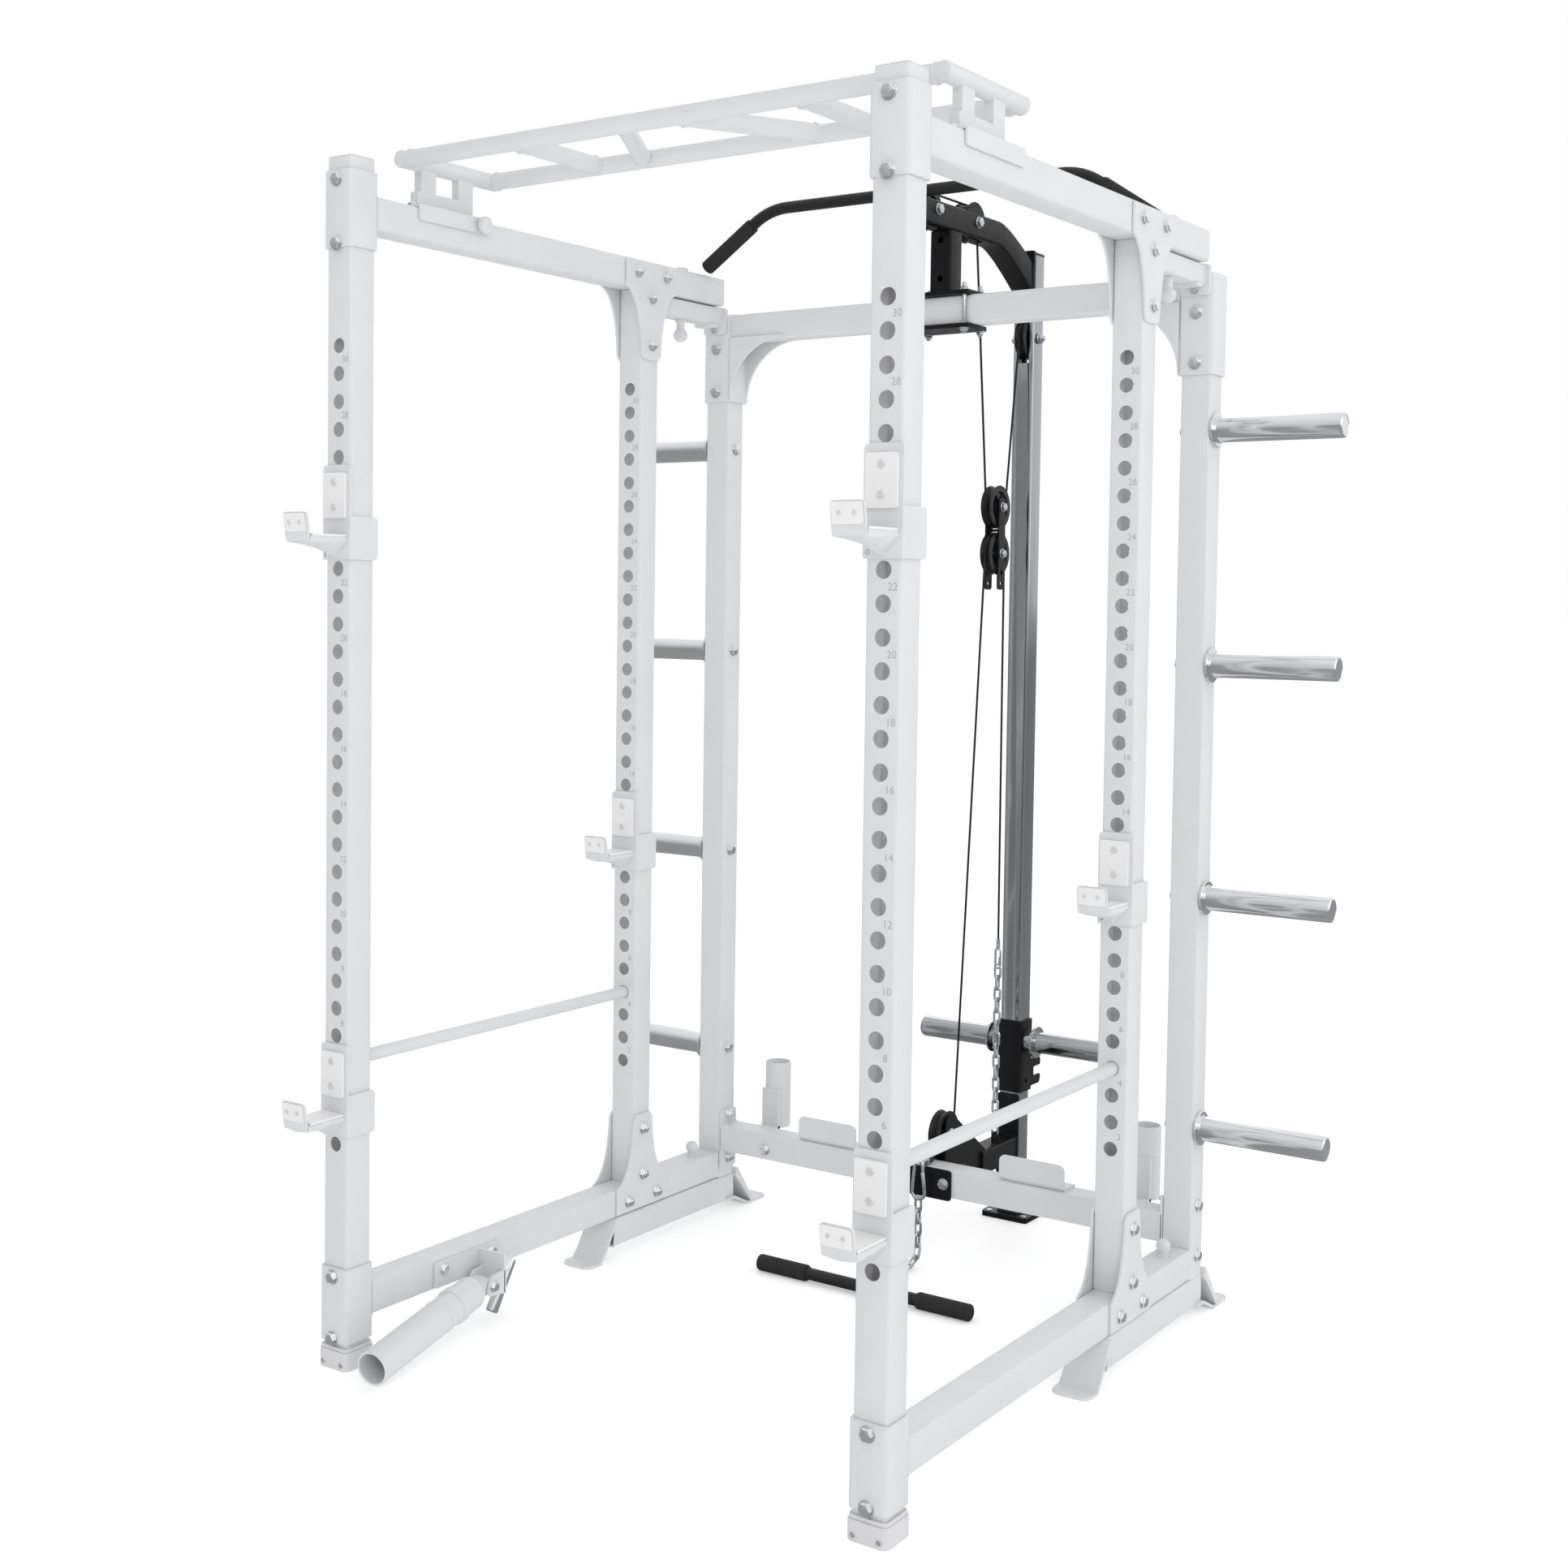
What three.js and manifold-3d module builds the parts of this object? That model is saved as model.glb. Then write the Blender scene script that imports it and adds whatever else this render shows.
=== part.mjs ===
// Six-post power cage with a lat-pulldown and low-row column on its rear side.
// Millimetres. +X right, +Y towards the rear, +Z up. Pieces are laid out with Y = 0 on the front face of the
// front posts; the outer group then centres the whole on the origin, with the floor at Z = 0.
import * as THREE from 'three';
import { mergeVertices } from 'three/addons/utils/BufferGeometryUtils.js';
import Module from 'manifold-3d';

const wasm = await Module();
wasm.setup();

// ---- driving dimensions -------------------------------------------------------------------------------

const GAP = 0.3; // between pieces that rest on each other
const RUNNING = 0.6; // radial play of a pin or axle in its hole

const TUBE = 60; // side of the cage's square tube
const WALL = 3; // wall of every square tube
const PLATE = 5; // collars and gussets

const CAGE_WIDTH = 1200; // over the outer faces of the posts
const MID_POST_Y = 850; // front face of the middle posts
const REAR_POST_Y = 1175; // front face of the rear posts
const FRONT_POST_HEIGHT = 2205;
const RAIL_DROP = 125; // from the top of a front post to the underside of its rail
const BASE_RAIL_Z = 90; // underside of the base rails
const TOP_RAIL_SETBACK = 23; // from the rear end of a top rail to the rear post
const REAR_POST_DROP = 20; // from the underside of a top rail to the top of a rear post

const POST_HOLE = { diameter: 27, pitch: 50, first: 415, headroom: 215 };
const BOLT = { radius: 6, head: 19, headHeight: 7 }; // M12, head across flats

const COLLAR = { above: 40, below: 38, bolt: 57 }; // round a front post, measured from the rail
const GUSSET = { flare: 88, stem: 33, reach: 150, short: 5, curve: 18, boltOut: 50, boltLow: 118,
  boltHigh: 18, boltRail: 32 };

const REAR_TOP_TUBE = { size: 40, end: 9 };
const CLAMP = { ahead: 145, studRadius: 6, ballRadius: 15.5, ballDrop: 34, bossRadius: 15, bossHeight: 10 };
const BASE_TUBE = { ahead: 60, drop: 2 };
const FOOT = { width: 76, frontReach: 98, rearReach: 130, thickness: 6 };
const BASE_KNOB_AHEAD = 65; // from the rear post

const TOP_CROSS = { sleeveHeight: 195, sleeveBolts: [75, 172], gussetRadius: 140, wrap: 6 };
const LOW_CROSS = { z: 150, flangeBelow: 42, flangeAbove: 32, boltSpan: 100 };
const FOOT_PLATE = { x: 250, width: 148, rise: 55, depth: 56, thickness: 5 };
const BAR_HOLDER = { inboard: 115, behind: 55, radius: 29, wall: 3, bottom: 200, top: 350, bracketHalf: 22,
  riserRise: 90, boltIn: 42 };

const PEG = { radius: 24, length: 255, lowest: 385, headroom: 106, perPost: 4, flangeRadius: 34, flange: 7,
  chamfer: 4 };

const CHIN_UP = { radius: 16, rise: 88, frontBar: 165, rearBar: 405, overhang: 15, straight: 300,
  slantFront: 55, slantRear: 195, legs: [220, 322], saddleFront: 170, saddleRear: 365, saddleTop: 35,
  skirt: 25, knobY: 335, knobRadius: 15, knobLength: 20 };

const CUP = { height: 170, pinHeight: 34, pinLength: 50, cheekHeight: 78, cheekBack: 5, linerFrom: 74,
  linerTo: 156, liner: 6, shelf: 40, shelfUnder: 20, lipFront: 105, lipTop: 83, lip: 6, hookHalfWidth: 29,
  slack: 1.5 };
const LOW_CUP_HOLE = 2; // holes are counted from the bottom
const MID_CUP_HOLE = 10;
const HIGH_CUP_BELOW_TOP = 7; // holes left above the high cup's

const ROD = { play: 1, hole: 4, rearOverhang: 12 };

const LANDMINE = { inboard: 73, pivotY: 322, pivotZ: 84, mouthInboard: 123, mouthY: -28, mouthZ: 35,
  sleeveRadius: 32, sleeveWall: 4, yoke: 44, pinRadius: 12, pinLength: 106, pinTilt: 0.54, bracketFront: 228,
  bracketRear: 412 };

// The lat tower. Its places are measured behind the front face of the rear posts.
const BLACK_TUBE = 50; // side of the attachment's square tube
const ARM = { aboveCross: 164, height: 52, front: -115, bend: 220, endDrop: 70, frontPulley: -55,
  rearPulley: 120, pulleyRise: 7, endFlange: 8 };
const ARM_POST = { behind: 25, plateHalfX: 75, plateHalfY: 45, plate: 9, boltX: 62, boltRadius: 4.5,
  boltPlay: 2, boltHead: 15, boltDrops: [14, 100] };
const COLUMN = { behind: 415, belowArm: 19, footHalfX: 57, footHalfY: 43, foot: 12, pulleyDrop: 188 };
const PULLEY = { width: 24, bore: 6, largeRadius: 48, smallRadius: 41, groove: 8, seat: 3, rim: 2.5,
  side: 1.5, slot: 2 };
const CABLE_RADIUS = 2.5;
const BLOCK = { behind: 270, drop: 387, between: 7, halfDepth: 15, above: 20, below: 80, spacer: 5,
  plate: 4, boltHead: 17, holeRadius: 5.5, holePitch: 28, holeLow: 16 };
const LOW_PULLEY = { behind: 81, clearance: 7 }; // clearance above the crossmember
const LOW_ARM = { z: 168, height: 54, tubeFront: 225, plateHalfX: 66, boltX: 49, boltZ: 180,
  columnPlateTop: 290, columnPlateBottom: 60, clampPlate: 6, cheek: 5 };
const CARRIAGE = { bottom: 295, height: 165, wall: 4, play: 1, hornUp: 117, hornRadius: 24, hornReach: 238,
  flangeRadius: 33.5, flangeX: 52, hookOut: 42, hookLow: 8, hookHigh: 71,
  lugBehind: 11, hookWall: 6 };
const ANCHOR_CHAIN = { behind: 322, bottom: 216, top: 651 };
const CHAIN_RADIUS = 8;
const ROW_HOOK = { ahead: 25, bottom: 136, stopperRadius: 9, stopperFront: 5, stopperRear: 27, halfWidth: 15 };
const ROW_BAR = { ahead: 254, halfLength: 250, radius: 12.5, gripRadius: 17, gripFrom: 130 };
const LAT_BAR = { clearance: 1.5, straight: 367, tipX: 532, tipDrop: 112, radius: 12.5, gripRadius: 16,
  gripLength: 150 };
const LAT_HOOK = { drop: 82, length: 88 };

// ---- values worked out from them ----------------------------------------------------------------------

const HALF = TUBE / 2;
const POST_X = CAGE_WIDTH / 2 - HALF;
const TOP_RAIL_Z = FRONT_POST_HEIGHT - RAIL_DROP;
const REAR_POST_TOP = TOP_RAIL_Z - REAR_POST_DROP;
const REAR_POST_BACK = REAR_POST_Y + TUBE;
const REAR_POST_CENTRE = REAR_POST_Y + HALF;
const MID_POST_CENTRE = MID_POST_Y + HALF;
const COLLAR_HALF = HALF + GAP + PLATE;
const CLAMP_Y = REAR_POST_Y - CLAMP.ahead;
const HOLE_COUNT = Math.floor((TOP_RAIL_Z - POST_HOLE.headroom - POST_HOLE.first) / POST_HOLE.pitch) + 1;
const holeZ = (number) => POST_HOLE.first + POST_HOLE.pitch * (number - 1);
const pinRadius = POST_HOLE.diameter / 2 - CUP.slack;
const PEG_PITCH = (REAR_POST_TOP - TOP_CROSS.sleeveHeight - PEG.headroom - PEG.lowest) / (PEG.perPost - 1);

const ARM_Z = REAR_POST_TOP + ARM.aboveCross;
const COLUMN_Y = REAR_POST_Y + COLUMN.behind;
const COLUMN_TOP = ARM_Z - COLUMN.belowArm;
const BLOCK_Y = REAR_POST_Y + BLOCK.behind;
const FRONT_PULLEY = [REAR_POST_Y + ARM.frontPulley, ARM_Z + ARM.pulleyRise];
const REAR_PULLEY = [REAR_POST_Y + ARM.rearPulley, ARM_Z + ARM.pulleyRise];
const COLUMN_PULLEY = [COLUMN_Y, COLUMN_TOP - COLUMN.pulleyDrop];
const BLOCK_UPPER = COLUMN_PULLEY[1] - BLOCK.drop;
const BLOCK_LOWER = BLOCK_UPPER - 2 * PULLEY.largeRadius - BLOCK.between;
const LOW_PULLEY_AT = [
  REAR_POST_Y + LOW_PULLEY.behind,
  LOW_CROSS.z + TUBE + LOW_PULLEY.clearance + PULLEY.largeRadius,
];
const CHAIN_Y = REAR_POST_Y + ANCHOR_CHAIN.behind;
const LARGE_RUN = PULLEY.largeRadius - PULLEY.seat; // radius of a cable's middle on a large pulley
const SMALL_RUN = PULLEY.smallRadius - PULLEY.seat;
const LAT_HOOK_Y = FRONT_PULLEY[0] - SMALL_RUN;
const LAT_HOOK_TOP = FRONT_PULLEY[1] - LAT_HOOK.drop;
const ROW_HOOK_Y = REAR_POST_Y - ROW_HOOK.ahead;
const ROW_CABLE_Z = LOW_PULLEY_AT[1] - LARGE_RUN;
const COLUMN_BACK_RUN = COLUMN_Y + LARGE_RUN; // where the lat cable comes down behind the column
const CARRIAGE_TOP = CARRIAGE.bottom + CARRIAGE.height;
const CARRIAGE_BACK = COLUMN_Y + BLACK_TUBE / 2 + CARRIAGE.play + CARRIAGE.wall;

// ---- looks --------------------------------------------------------------------------------------------

const FINISHES = {
  coat: { color: 0xdfe0e0, roughness: 0.55, metalness: 0.1 },
  black: { color: 0x16171a, roughness: 0.45, metalness: 0.2 },
  chrome: { color: 0xc9ccd0, roughness: 0.15, metalness: 1.0 },
  zinc: { color: 0xa9adb2, roughness: 0.35, metalness: 0.9 },
  nylon: { color: 0x1b1b1d, roughness: 0.5, metalness: 0.0 },
  cable: { color: 0x0e0e10, roughness: 0.4, metalness: 0.0 },
};

// ---- solids -------------------------------------------------------------------------------------------

function solidOf(geometry) {
  const bare = new THREE.BufferGeometry();
  bare.setAttribute('position', geometry.getAttribute('position'));
  if (geometry.index) bare.setIndex(geometry.index);
  const merged = mergeVertices(bare, 1e-3);
  const vertProperties = new Float32Array(merged.getAttribute('position').array);
  const triVerts = new Uint32Array(merged.index.array);
  return new wasm.Manifold(new wasm.Mesh({ numProp: 3, vertProperties, triVerts }));
}

function geometryOf(solid) {
  const mesh = solid.getMesh();
  const geometry = new THREE.BufferGeometry();
  geometry.setAttribute('position', new THREE.BufferAttribute(new Float32Array(mesh.vertProperties), 3));
  geometry.setIndex(new THREE.BufferAttribute(new Uint32Array(mesh.triVerts), 1));
  return geometry;
}

const join = (...solids) => wasm.Manifold.union(solids.flat());
const cut = (solid, ...tools) => solid.subtract(join(...tools));

/** A box between two corners, given as a [low, high] pair for each axis. */
function box(x, y, z) {
  const geometry = new THREE.BoxGeometry(x[1] - x[0], y[1] - y[0], z[1] - z[0]);
  geometry.translate((x[0] + x[1]) / 2, (y[0] + y[1]) / 2, (z[0] + z[1]) / 2);
  return solidOf(geometry);
}

const around = (middle, half) => [middle - half, middle + half];
const ordered = (a, b) => [Math.min(a, b), Math.max(a, b)];

/** Turns geometry made along +Y so that it runs along an axis, then moves it to a centre in the other two. */
function standAlong(geometry, axis, centre, from) {
  if (axis === 'x') geometry.rotateZ(-Math.PI / 2).translate(from, centre[0], centre[1]);
  if (axis === 'y') geometry.translate(centre[0], from, centre[1]);
  if (axis === 'z') geometry.rotateX(Math.PI / 2).translate(centre[0], centre[1], from);
  return geometry;
}

/** A cylinder, or a cone when endRadius is given, whose flats lie square to the axes. */
function rod(axis, centre, radius, from, to, sides = 12, endRadius = radius) {
  const geometry = new THREE.CylinderGeometry(endRadius, radius, to - from, sides);
  geometry.rotateY(Math.PI / sides).translate(0, (to - from) / 2, 0);
  return solidOf(standAlong(geometry, axis, centre, from));
}

/** A hole tool whose flats touch a circle of the given radius. */
const bore = (axis, centre, radius, from, to, sides = 8) =>
  rod(axis, centre, radius / Math.cos(Math.PI / sides), from, to, sides);

/** A small hole in the underside of a tube whose ends are closed. */
const drain = (centre, underside) => rod('z', centre, 5, underside - 1, underside + WALL + 1, 6);

const hexHead = (axis, centre, from, to, acrossFlats = BOLT.head) =>
  rod(axis, centre, acrossFlats / 2 / Math.cos(Math.PI / 6), from, to, 6);

const ball = (x, y, z, radius) =>
  solidOf(new THREE.SphereGeometry(radius, 8, 5).rotateX(Math.PI / 2).translate(x, y, z));

/** An outline in the two axes other than `axis`, in X, Y, Z order, pushed from one place to another. */
function prism(axis, outline, from, to) {
  const shape = new THREE.Shape(outline.map(([a, b]) => new THREE.Vector2(a, b)));
  const geometry = new THREE.ExtrudeGeometry(shape, { depth: to - from, bevelEnabled: false, steps: 1 });
  const turn = new THREE.Matrix4();
  if (axis === 'x') turn.set(0, 0, 1, from, 1, 0, 0, 0, 0, 1, 0, 0, 0, 0, 0, 1);
  if (axis === 'y') turn.set(1, 0, 0, 0, 0, 0, -1, to, 0, 1, 0, 0, 0, 0, 0, 1);
  if (axis === 'z') turn.makeTranslation(0, 0, from);
  return solidOf(geometry.applyMatrix4(turn));
}

/** A square tube with open ends along an axis; `size` may be a pair for a rectangular one. */
function squareTube(axis, centre, from, to, size = TUBE, wall = WALL) {
  const [a, b] = Array.isArray(size) ? size : [size, size];
  const make = (inset, low, high) => {
    const first = around(centre[0], a / 2 - inset);
    const second = around(centre[1], b / 2 - inset);
    if (axis === 'x') return box([low, high], first, second);
    if (axis === 'y') return box(first, [low, high], second);
    return box(first, second, [low, high]);
  };
  return make(0, from, to).subtract(make(wall, from - 1, to + 1));
}

/** A run of points read as straight steps, so that a swept tube has exactly one ring at each point. */
class Route extends THREE.Curve {
  constructor(points) {
    super();
    this.points = points;
  }

  getPoint(t, target = new THREE.Vector3()) {
    const last = this.points.length - 1;
    const place = THREE.MathUtils.clamp(t, 0, 1) * last;
    const index = Math.min(Math.floor(place), last - 1);
    return target.lerpVectors(this.points[index], this.points[index + 1], place - index);
  }

  getUtoTmapping(u) {
    return u;
  }
}

function sweep(points, radius, sides = 8) {
  const corners = Array.from({ length: sides }, (_, i) => {
    const turn = (2 * Math.PI * i) / sides;
    return new THREE.Vector2(radius * Math.cos(turn), radius * Math.sin(turn));
  });
  const options = { steps: points.length - 1, bevelEnabled: false, extrudePath: new Route(points) };
  return solidOf(new THREE.ExtrudeGeometry(new THREE.Shape(corners), options));
}

/** A bent bar: straight runs between corner points, with each inner corner rounded. */
function rounded(corners, reach, steps = 4) {
  const points = [corners[0]];
  for (let i = 1; i < corners.length - 1; i += 1) {
    const towards = (other) => corners[i].clone().lerp(other, reach / corners[i].distanceTo(other));
    const [start, end] = [towards(corners[i - 1]), towards(corners[i + 1])];
    points.push(...new THREE.QuadraticBezierCurve3(start, corners[i], end).getPoints(steps));
  }
  points.push(corners[corners.length - 1]);
  return points;
}

/** A straight bar between two points. */
const bar = (from, to, radius, sides = 8) =>
  sweep([new THREE.Vector3(...from), new THREE.Vector3(...to)], radius, sides);

/** The route of a cable in the plane X = 0. A stop is a [y, z] point, or { at, radius, turn } for a pulley,
 *  with turn +1 where the cable goes round it from +Y towards +Z and -1 the other way. */
function cableRoute(stops) {
  const wheels = stops.map((stop) => (Array.isArray(stop) ? { at: stop, radius: 0, turn: 1 } : stop));
  const leaving = [];
  const arriving = [];
  for (let i = 0; i < wheels.length - 1; i += 1) {
    const [a, b] = [wheels[i], wheels[i + 1]];
    const [dy, dz] = [b.at[0] - a.at[0], b.at[1] - a.at[1]];
    const offset = b.turn * b.radius - a.turn * a.radius;
    const heading = Math.atan2(dz, dy) - Math.atan2(offset, Math.sqrt(dy * dy + dz * dz - offset * offset));
    const normal = heading + Math.PI / 2;
    const touch = (w) => [
      w.at[0] - w.turn * w.radius * Math.cos(normal),
      w.at[1] - w.turn * w.radius * Math.sin(normal),
    ];
    leaving[i] = touch(a);
    arriving[i + 1] = touch(b);
  }
  const route = [wheels[0].at];
  const full = 2 * Math.PI;
  for (let i = 1; i < wheels.length - 1; i += 1) {
    const { at, radius, turn } = wheels[i];
    const start = Math.atan2(arriving[i][1] - at[1], arriving[i][0] - at[0]);
    const end = Math.atan2(leaving[i][1] - at[1], leaving[i][0] - at[0]);
    const swing = (((turn * (end - start)) % full) + full) % full;
    const steps = Math.max(2, Math.ceil(swing / (Math.PI / 9)));
    for (let k = 0; k <= steps; k += 1) {
      const angle = start + (turn * swing * k) / steps;
      route.push([at[0] + radius * Math.cos(angle), at[1] + radius * Math.sin(angle)]);
    }
  }
  route.push(wheels[wheels.length - 1].at);
  return route.map(([y, z]) => new THREE.Vector3(0, y, z));
}

// ---- the scene graph ----------------------------------------------------------------------------------

const cage = new THREE.Group();
const layout = new THREE.Group();
layout.position.y = -(CARRIAGE_BACK + CARRIAGE.hookOut - CUP.lipFront) / 2;
cage.add(layout);

function add(name, finish, solid, place = [0, 0, 0], turn = [0, 0, 0]) {
  const mesh = new THREE.Mesh(geometryOf(solid), new THREE.MeshStandardMaterial(FINISHES[finish]));
  mesh.name = name;
  mesh.position.set(...place);
  mesh.rotation.set(...turn);
  layout.add(mesh);
}

const SIDES = [['left', -1], ['right', 1]];

// ---- frame --------------------------------------------------------------------------------------------

/** The row of through holes, front to back, in a numbered post. */
function holeRow(x, front) {
  const holes = [];
  for (let number = 1; number <= HOLE_COUNT; number += 1) {
    holes.push(bore('y', [x, holeZ(number)], POST_HOLE.diameter / 2, front - 1, front + TUBE + 1, 6));
  }
  return holes;
}

/** Cross holes through both side walls for bolts that lie along X. */
const boltHoles = (x, places) =>
  places.map(([y, z]) => bore('x', [y, z], BOLT.radius + RUNNING, x - HALF - 1, x + HALF + 1, 6));

function frontPost(x) {
  const inside = box(around(x, HALF - WALL), around(HALF, HALF - WALL), [-1, FRONT_POST_HEIGHT - WALL]);
  const body = box(around(x, HALF), [0, TUBE], [0, FRONT_POST_HEIGHT]);
  return cut(body, inside, holeRow(x, 0));
}

function midPost(x) {
  const bottom = BASE_RAIL_Z + TUBE + GAP;
  const body = squareTube('z', [x, MID_POST_CENTRE], bottom, TOP_RAIL_Z - GAP);
  const bolts = [...gussetBolts(TOP_RAIL_Z, -1), ...gussetBolts(BASE_RAIL_Z + TUBE, 1)];
  return cut(body, holeRow(x, MID_POST_Y), boltHoles(x, bolts.filter(([y]) => y === MID_POST_CENTRE)));
}

const pegHeights = () => Array.from({ length: PEG.perPost }, (_, i) => PEG.lowest + PEG_PITCH * i);

function rearPost(x, side) {
  const bottom = BASE_RAIL_Z - BASE_TUBE.drop + GAP;
  const centre = REAR_POST_CENTRE;
  const body = squareTube('z', [x, centre], bottom, REAR_POST_TOP);
  const outer = x + side * HALF;
  const heads = [-1, 1].map((end) => {
    const z = LOW_CROSS.z + HALF + (end * LOW_CROSS.boltSpan) / 2;
    return hexHead('x', [centre, z], ...ordered(outer - side, outer + side * BOLT.headHeight));
  });
  const inside = box(around(x, HALF - WALL), around(centre, HALF - WALL), [bottom - 1, REAR_POST_TOP + 1]);
  return cut(join(body, heads).subtract(inside), boltHoles(x, pegHeights().map((z) => [centre, z])));
}

/** Where the four bolts of a T gusset sit; `way` is +1 where the post stands above the rail's edge. */
function gussetBolts(edge, way) {
  const rail = edge - way * GUSSET.boltRail;
  return [
    [MID_POST_CENTRE - GUSSET.boltOut, rail],
    [MID_POST_CENTRE + GUSSET.boltOut, rail],
    [MID_POST_CENTRE, edge + way * GUSSET.boltHigh],
    [MID_POST_CENTRE, edge + way * GUSSET.boltLow],
  ];
}

/** Inner and outer T plates on a middle post, held together by four through bolts. */
function gusset(x, edge, way) {
  const { flare, stem, reach, short, curve } = GUSSET;
  const lap = TUBE - short;
  const side = (s) => {
    const edgeCurve = new THREE.QuadraticBezierCurve(
      new THREE.Vector2(s * flare, 0), new THREE.Vector2(s * (stem + 6), curve),
      new THREE.Vector2(s * stem, reach - 12));
    return edgeCurve.getPoints(4).map((p) => [MID_POST_CENTRE + p.x, edge + way * p.y]);
  };
  const top = [[MID_POST_CENTRE + flare, edge - way * lap], ...side(1),
    [MID_POST_CENTRE + stem - 8, edge + way * reach]];
  const bottom = [[MID_POST_CENTRE - flare, edge - way * lap], ...side(-1),
    [MID_POST_CENTRE - stem + 8, edge + way * reach]].reverse();
  const outline = [...top, ...bottom];
  if (way < 0) outline.reverse();
  const inner = x - HALF - GAP - PLATE;
  const outer = x + HALF + GAP;
  const solids = [prism('x', outline, inner, inner + PLATE), prism('x', outline, outer, outer + PLATE)];
  for (const [y, z] of gussetBolts(edge, way)) {
    solids.push(rod('x', [y, z], BOLT.radius, inner, outer + PLATE, 6));
    solids.push(hexHead('x', [y, z], inner - BOLT.headHeight, inner + 1));
    solids.push(hexHead('x', [y, z], outer + PLATE - 1, outer + PLATE + BOLT.headHeight));
  }
  return join(solids);
}

/** The welded collar round a front post, with its two bolt heads, for a rail whose underside is at z. */
function collar(x, z) {
  const low = z - COLLAR.below;
  const high = z + TUBE + COLLAR.above;
  const outer = box(around(x, COLLAR_HALF), around(HALF, COLLAR_HALF), [low, high]);
  const inner = box(around(x, HALF + GAP), around(HALF, HALF + GAP), [low - 1, high + 1]);
  const face = -GAP - PLATE;
  const heads = [-1, 1].map((way) =>
    hexHead('y', [x, z + HALF + way * COLLAR.bolt - 4], face - BOLT.headHeight, face + 1));
  return join(outer, heads).subtract(inner);
}

function topRail(x) {
  const front = HALF + COLLAR_HALF;
  const z = TOP_RAIL_Z + HALF;
  const end = REAR_POST_Y - TOP_RAIL_SETBACK;
  const bossTop = z + HALF + CLAMP.bossHeight;
  const boss = rod('z', [x, CLAMP_Y], CLAMP.bossRadius, z + HALF - 1, bossTop);
  const stud = bore('z', [x, CLAMP_Y], CLAMP.studRadius + RUNNING, z - HALF - 1, bossTop + 1);
  const railBolts = gussetBolts(TOP_RAIL_Z, -1).filter(([, height]) => height > TOP_RAIL_Z);
  const body = join(squareTube('y', [x, z], front - 1, end), collar(x, TOP_RAIL_Z), boss);
  return cut(body, stud, boltHoles(x, railBolts));
}

function baseRail(x) {
  const front = HALF + COLLAR_HALF;
  const z = BASE_RAIL_Z + HALF;
  const knobY = REAR_POST_Y - BASE_KNOB_AHEAD;
  const railBolts = gussetBolts(BASE_RAIL_Z + TUBE, 1).filter(([, height]) => height < BASE_RAIL_Z + TUBE);
  const body = join(
    squareTube('y', [x, z], front - 1, REAR_POST_Y - GAP),
    collar(x, BASE_RAIL_Z),
    rod('z', [x, knobY], 8, z + HALF - 1, z + HALF + 12, 8),
    ball(x, knobY, z + HALF + 20, 14),
  );
  return cut(body, boltHoles(x, railBolts));
}

function rearTopTube(x) {
  const { size, end } = REAR_TOP_TUBE;
  const z = TOP_RAIL_Z - 3 - size / 2;
  const front = MID_POST_Y + TUBE + GAP;
  const flange = REAR_POST_Y - GAP - TOP_CROSS.wrap - GAP - end;
  const body = join(
    squareTube('y', [x, z], front, flange + 1, size),
    box(around(x, HALF), [flange, flange + end], [z - size / 2 - 18, z + size / 2]),
    box(around(x, size / 2 + 3), [flange - 46, flange - 20], [z - size / 2 - 6, z - size / 2 + 1]),
  );
  return cut(body, bore('z', [x, CLAMP_Y], CLAMP.studRadius + RUNNING, z - size, z + size));
}

/** The ball knob and stud that clamp a top rail to the tube below it; the rail's underside is at z = 0. */
function clampKnob() {
  const underTube = -3 - REAR_TOP_TUBE.size - GAP;
  return join(
    rod('z', [0, 0], CLAMP.studRadius, underTube - 1, TUBE + CLAMP.bossHeight - 1, 8),
    rod('z', [0, 0], 9, underTube - CLAMP.ballDrop + 8, underTube, 10),
    ball(0, 0, underTube - CLAMP.ballDrop, CLAMP.ballRadius),
  );
}

function rearBaseTube(x) {
  const top = BASE_RAIL_Z - BASE_TUBE.drop;
  const low = top - TUBE;
  const front = MID_POST_Y - BASE_TUBE.ahead;
  const { thickness, frontReach, rearReach, width } = FOOT;
  const back = REAR_POST_BACK;
  const frontFoot = [[front + 1, top], [front + 1, low], [front - 18, thickness], [front - 18, 0],
    [front - frontReach, 0], [front - frontReach, thickness], [front - 58, thickness], [front - 40, low],
    [front - thickness, top]];
  const rearFoot = [[back - 1, low + 1], [back - 20, low], [back + 57, 0], [back + rearReach, 0],
    [back + rearReach, thickness], [back + 75, thickness], [back + 64, 24], [back + 16, top - 2],
    [back + GAP, top + 12], [back + GAP, top], [back - 1, top]];
  const body = join(
    squareTube('y', [x, low + HALF], front, back),
    prism('x', frontFoot.reverse(), x - width / 2, x + width / 2),
    prism('x', rearFoot, x - width / 2, x + width / 2),
  );
  return body.subtract(drain([x, MID_POST_Y + TUBE], low));
}

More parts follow.
